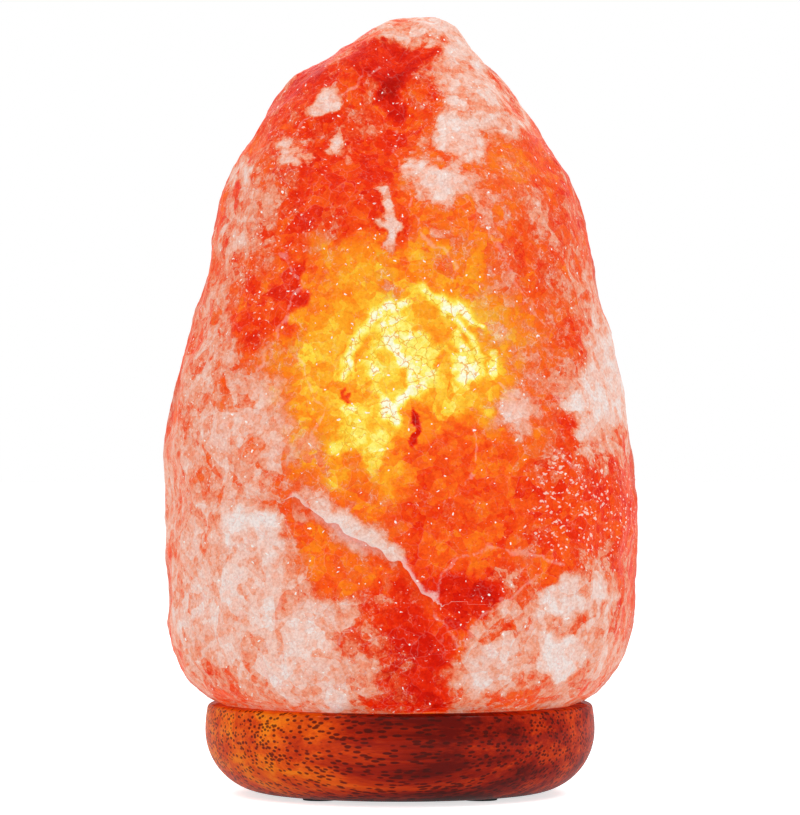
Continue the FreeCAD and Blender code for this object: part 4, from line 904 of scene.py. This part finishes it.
def moulded_plastic():
    """Black phenolic plastic, moulded: hard and dull, with a fine even grain and a faint brown cast."""
    return wandering("moulded_phenolic_plastic", 0.4, ("#141312", "#252321"), (0.34, 0.5), 0.04, IOR=1.6)


def moulded_rubber():
    """Black rubber, moulded: matt, with a bloom that greys it in patches."""
    return wandering("moulded_rubber", 1.2, ("#1A1A1A", "#343434"), (0.75, 0.95), 0.08)


def zinc_plated_steel():
    """Steel wood screws, zinc plated: grey with a pale spangle."""
    return wandering("zinc_plated_steel", 0.9, ("#A9AEB4", "#D7DBDE"), (0.25, 0.42), 0.02, Metallic=1.0)


def spring_steel():
    """Hardened strip steel, ground along its length: grey, with fine upright lines."""
    return wandering("ground_spring_steel", 0.35, ("#8E9194", "#C9CBCC"), (0.22, 0.4), 0.015, (1, 1, 0.06),
                     Metallic=1.0)


def fired_ceramic():
    """Steatite, pressed and fired without a glaze: off-white and dry, with small grey specks."""
    return wandering("unglazed_steatite", 0.7, ("#CFC6B4", "#F1EBDD"), (0.7, 0.85), 0.05)


def stamped_brass():
    """Brass sheet, stamped and rolled: yellow metal, with brown where it has been handled."""
    return wandering("stamped_brass", 2.2, ("#A8782E", "#E2BE6A"), (0.2, 0.42), 0.02, Metallic=1.0)


def plated_terminal_steel():
    """Small machine screws, nickel plated: pale and bright, with turning marks."""
    return wandering("nickel_plated_steel", 0.3, ("#B6B3AA", "#E4E1D8"), (0.18, 0.32), 0.01, (1, 1, 4),
                     Metallic=1.0)


def drawn_aluminium():
    """Aluminium sheet, drawn and rolled to a thread: white metal with a soft sheen."""
    return wandering("rolled_aluminium", 1.5, ("#B4B6B8", "#E6E7E8"), (0.24, 0.4), 0.02, (1, 1, 0.3),
                     Metallic=1.0)


def black_glass():
    """Vitrified black glass, pressed hot: glossy, with a slow ripple."""
    return wandering("pressed_black_glass", 1.8, ("#08070A", "#17141C"), (0.08, 0.2), 0.05)


def tin_solder():
    """A bead of solder: dull silver, wrinkled where it cooled."""
    return wandering("tin_solder", 0.8, ("#8F9090", "#CDCDC9"), (0.3, 0.55), 0.12, Metallic=1.0)


def drawn_wire():
    """Nickel wire, drawn: warm grey, with lines along it."""
    return wandering("drawn_nickel_wire", 0.3, ("#8C8272", "#C8BFAE"), (0.28, 0.45), 0.01, (1, 1, 0.2),
                     Metallic=1.0)


def blown_glass():
    """Soda glass, blown: clear, with a slight waviness of the wall."""
    return wandering("blown_soda_glass", 6.0, ("#DCE6E4", "#F2F7F6"), (0.0, 0.03), 0.06, IOR=1.52,
                     Transmission_Weight=1.0)


def pressed_glass():
    """Lead glass, pinched hot round the wires: clear with a warm cast and a rippled face."""
    return wandering("pinched_lead_glass", 1.5, ("#F6EEDC", "#FFFDF6"), (0.02, 0.1), 0.15, IOR=1.56,
                     Transmission_Weight=1.0)


def hot_tungsten(settings):
    """Tungsten wire at white heat: it shines, less where the supports draw its warmth away."""
    material, tree, shader = new_material("glowing_tungsten", Metallic=1.0, Roughness=0.5)
    patch = add(tree, "TexNoise", {"Vector": in_millimetres(tree), "Scale": 1 / 1.5, "Detail": 2.0})
    hue = add(tree, "ValToRGB", (patch,), stops=[(0.35, "#FFB04A"), (0.65, "#FFE2A0")])
    tree.links.new(hue, shader.inputs["Base Color"])
    tree.links.new(hue, shader.inputs["Emission Color"])
    shader.inputs["Emission Strength"].default_value = settings.filament_glow
    return material


class SALTLAMP_OT_lampholder(bpy.types.Operator):
    """Finishes the lampholder and its sprung bracket, and cuts the barrel's thread"""
    bl_idname = "saltlamp.lampholder"
    bl_label = "Lampholder and bracket"

    def execute(self, context):
        plastic = moulded_plastic()
        painted(plastic, "holder_shell", "clamp_ring", "holder_cap")
        finished("barrel_thread", barrel_thread(context.scene.fitting_settings), plastic, "lampholder",
                 "holder_plastic")
        painted(spring_steel(), "bracket_plate", "spring_leg_1", "spring_leg_2", "spring_leg_3")
        painted(fired_ceramic(), "contact_block")
        return {"FINISHED"}


class SALTLAMP_OT_contacts(bpy.types.Operator):
    """Makes the threaded sleeve, and finishes the contacts and terminals"""
    bl_idname = "saltlamp.contacts"
    bl_label = "Sleeve, contacts and terminals"

    def execute(self, context):
        brass = stamped_brass()
        sleeve = finished("threaded_sleeve", threaded_sleeve(), brass, "lampholder", "contact_brass",
                          "screw_shell")
        sheet_metal(sleeve)
        painted(brass, "contact_rivets", "centre_contact", "terminals")
        painted(plated_terminal_steel(), "terminal_screws")
        return {"FINISHED"}


# ---------------------------------------------------------------- bulb

COIL_RADIUS = 0.18 * MM
COIL_WIRE = 0.06 * MM  # radius of the wire
COIL_STEPS = 10  # in one turn of the filament
WIRE_SIDES = 6
SUPPORT_WIRE = 0.2 * MM  # the filament hangs this far inside the supports' outer ends


def coiled(bm, start, end, pitch):
    """A fine wire coiled about the line from one point to another."""
    run = end - start
    turns = max(1, round(run.length / pitch))
    along = run.normalized()
    side = along.cross(Vector((0, 1, 0))).normalized()
    ring = bmesh.ops.create_circle(bm, cap_ends=False, segments=WIRE_SIDES, radius=COIL_WIRE)["verts"]
    turned = Vector((0, 1, 0)).rotation_difference(along.cross(side)).to_matrix().to_4x4()
    bmesh.ops.transform(bm, matrix=turned, verts=ring)
    bmesh.ops.translate(bm, vec=start + side * COIL_RADIUS, verts=ring)
    edges = list(dict.fromkeys(e for v in ring for e in v.link_edges))
    bmesh.ops.spin(bm, geom=ring + edges, cent=start, axis=along, dvec=run / (turns * COIL_STEPS),
                   angle=2 * math.pi * turns, steps=turns * COIL_STEPS, use_duplicate=False)


def filament_coil(settings):
    """The coiled filament, from one lead wire over the two supports to the other."""
    low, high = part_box("filament")
    slack = COIL_RADIUS + COIL_WIRE
    reach, crown = high.x - slack / 2, high.z - slack
    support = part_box("filament_supports")[1].x - SUPPORT_WIRE
    corners = [Vector((-reach, 0, low.z + slack)), Vector((-support, 0, crown)),
               Vector((support, 0, crown)), Vector((reach, 0, low.z + slack))]
    bm = bmesh.new()
    for start, end in zip(corners, corners[1:]):
        coiled(bm, start, end, settings.coil_pitch)
    bmesh.ops.holes_fill(bm, edges=[e for e in bm.edges if e.is_boundary], sides=0)
    return put_in_order(bm)


class SALTLAMP_OT_bulb(bpy.types.Operator):
    """Makes the bulb's threaded cap and its filament, and finishes its glass and wires"""
    bl_idname = "saltlamp.bulb"
    bl_label = "Bulb"

    def execute(self, context):
        settings = context.scene.fitting_settings
        cap = finished("threaded_cap", threaded_cap(), drawn_aluminium(), "bulb", "cap_metal", "bulb_cap")
        sheet_metal(cap)
        finished("coiled_filament", filament_coil(settings), hot_tungsten(settings), "bulb", "filament",
                 "filament")
        painted(black_glass(), "cap_insulator")
        painted(tin_solder(), "cap_contact")
        painted(blown_glass(), "bulb_glass")
        painted(pressed_glass(), "bulb_stem")
        painted(drawn_wire(), "lead_wires", "filament_supports")
        return {"FINISHED"}


# ---------------------------------------------------------------- the stage

MIDDLE = (0, 0, 0.1)  # what the lamps face
# Soft lamps: place, width, height, power in watts, and whether it lights the varnish's gloss alone.
LAMPS = {
    "softbox_left": ((-0.75, -0.35, 1.05), 0.5, 0.35, 4, False),
    "softbox_right": ((0.75, -0.35, 1.05), 0.5, 0.35, 5, False),
    "shine_left": ((-1.14, -0.47, 0.46), 0.22, 0.10, 20, True),
    "shine_right": ((1.26, -0.07, 0.42), 0.22, 0.10, 26, True),
    "front_fill": ((0, -1.6, 0.9), 1.2, 0.8, 4, False),
    "back_fill": ((0, 1.6, 0.9), 1.2, 0.8, 4, False),
}
ROOM_LIGHT = 0.45  # grey light of the room on things, where the white that is seen is 1
FLOOR_LIGHT = 0.7
FLOOR_RADIUS = 6.0
SENSOR_WIDTH = 36  # mm
FAR = 50


def seen_plainly(tree):
    """1 for what the camera, a gloss or a clear glass sees, and 0 for light that falls on things."""
    path = add(tree, "LightPath").node
    seen = add(tree, "Math", (path.outputs["Is Camera Ray"], path.outputs["Is Glossy Ray"]),
               operation="MAXIMUM")
    return add(tree, "Math", (seen, path.outputs["Is Transmission Ray"]), operation="MAXIMUM")


def white_room(scene):
    """A room that is seen white, and gives a plain grey light."""
    world = bpy.data.worlds.new("white_room")
    scene.world = world
    world.use_nodes = True
    tree = world.node_tree
    tree.nodes.clear()
    out = tree.nodes.new("ShaderNodeOutputWorld")
    strength = add(tree, "MapRange", {"Value": seen_plainly(tree), "To Min": ROOM_LIGHT, "To Max": 1.0})
    glow = add(tree, "Background", {"Color": srgb("#FFFFFF"), "Strength": strength})
    tree.links.new(glow, out.inputs["Surface"])


def soft_lamp(name, place, width, height, power, gloss_only):
    """A large soft lamp that faces the middle. One for gloss alone lights the varnished base only."""
    data = bpy.data.lights.new(name, "AREA")
    data.shape = "RECTANGLE"
    data.size, data.size_y = width, height
    data.energy = power
    lamp = bpy.data.objects.new(name, data)
    bpy.context.scene.collection.objects.link(lamp)
    lamp.location = place
    lamp.rotation_euler = (Vector(MIDDLE) - Vector(place)).to_track_quat("-Z", "Y").to_euler()
    lamp.visible_diffuse = not gloss_only
    if gloss_only:
        varnished = bpy.data.collections.new(name + "_varnished")
        varnished.objects.link(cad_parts["wood_base"])
        lamp.light_linking.receiver_collection = varnished


def front_camera(scene):
    """The camera, level and straight in front of the lamp."""
    settings = scene.stage_settings
    camera = bpy.data.objects.new("camera", bpy.data.cameras.new("camera"))
    scene.collection.objects.link(camera)
    camera.location = (0, -settings.camera_distance, settings.camera_height)
    camera.rotation_euler = (math.radians(90), 0, 0)
    camera.data.sensor_width = SENSOR_WIDTH
    camera.data.lens = settings.camera_lens
    camera.data.clip_end = FAR
    scene.camera = camera


def floor_paint():
    """White matt paint, which takes a faint shadow. From below it lets the lamp be seen."""
    material, tree, shader = new_material("pale_floor", Roughness=0.8, Specular_IOR_Level=0.0)
    shader.inputs["Base Color"].default_value = srgb("#F4F4F4")
    strength = add(tree, "Math", (seen_plainly(tree), FLOOR_LIGHT), operation="MULTIPLY")
    shine = add(tree, "Emission", {"Color": srgb("#FFFFFF"), "Strength": strength})
    top = add(tree, "AddShader", (shader.outputs[0], shine))
    under = add(tree, "NewGeometry", out="Backfacing")
    both = add(tree, "MixShader", {0: under, 1: top, 2: add(tree, "BsdfTransparent")})
    tree.links.new(both, tree.nodes["Material Output"].inputs["Surface"])
    return material


def round_floor(scene):
    """A wide round floor at the level of the feet."""
    bm = bmesh.new()
    bmesh.ops.create_circle(bm, cap_ends=True, segments=96, radius=FLOOR_RADIUS)
    mesh = bpy.data.meshes.new("floor")
    bm.to_mesh(mesh)
    bm.free()
    floor = bpy.data.objects.new("floor", mesh)
    scene.collection.objects.link(floor)
    mesh.materials.append(floor_paint())


class SALTLAMP_OT_stage(bpy.types.Operator):
    """Sets the camera, the soft lamps and the pale floor"""
    bl_idname = "saltlamp.stage"
    bl_label = "Camera, lamps and floor"

    def execute(self, context):
        front_camera(context.scene)
        context.scene.view_settings.view_transform = "Standard"
        white_room(context.scene)
        for name, settings in LAMPS.items():
            soft_lamp(name, *settings)
        round_floor(context.scene)
        return {"FINISHED"}


class SALTLAMP_PT_panel(bpy.types.Panel):
    """Lists the lamp's pieces and its stage"""
    bl_idname = "SALTLAMP_PT_panel"
    bl_label = "Salt Crystal Lamp"
    bl_space_type = "VIEW_3D"
    bl_region_type = "UI"
    bl_category = "Salt Lamp"

    def draw(self, context):
        for operator in OPERATORS:
            self.layout.operator(operator.bl_idname)


SETTINGS = {"rock_settings": RockSettings, "wood_settings": WoodSettings,
            "fitting_settings": FittingSettings, "stage_settings": StageSettings}
OPERATORS = [SALTLAMP_OT_rock, SALTLAMP_OT_base, SALTLAMP_OT_lampholder, SALTLAMP_OT_contacts,
             SALTLAMP_OT_bulb, SALTLAMP_OT_stage]


def register():
    for group in SETTINGS.values():
        bpy.utils.register_class(group)
    for name, group in SETTINGS.items():
        setattr(bpy.types.Scene, name, PointerProperty(type=group))
    for operator in OPERATORS:
        bpy.utils.register_class(operator)
    bpy.utils.register_class(SALTLAMP_PT_panel)


def unregister():
    bpy.utils.unregister_class(SALTLAMP_PT_panel)
    for operator in reversed(OPERATORS):
        bpy.utils.unregister_class(operator)
    for name, group in SETTINGS.items():
        delattr(bpy.types.Scene, name)
        bpy.utils.unregister_class(group)


def main():
    register()
    bpy.ops.saltlamp.rock()
    bpy.ops.saltlamp.base()
    bpy.ops.saltlamp.lampholder()
    bpy.ops.saltlamp.contacts()
    bpy.ops.saltlamp.bulb()
    bpy.ops.saltlamp.stage()


if __name__ == "__main__":
    main()
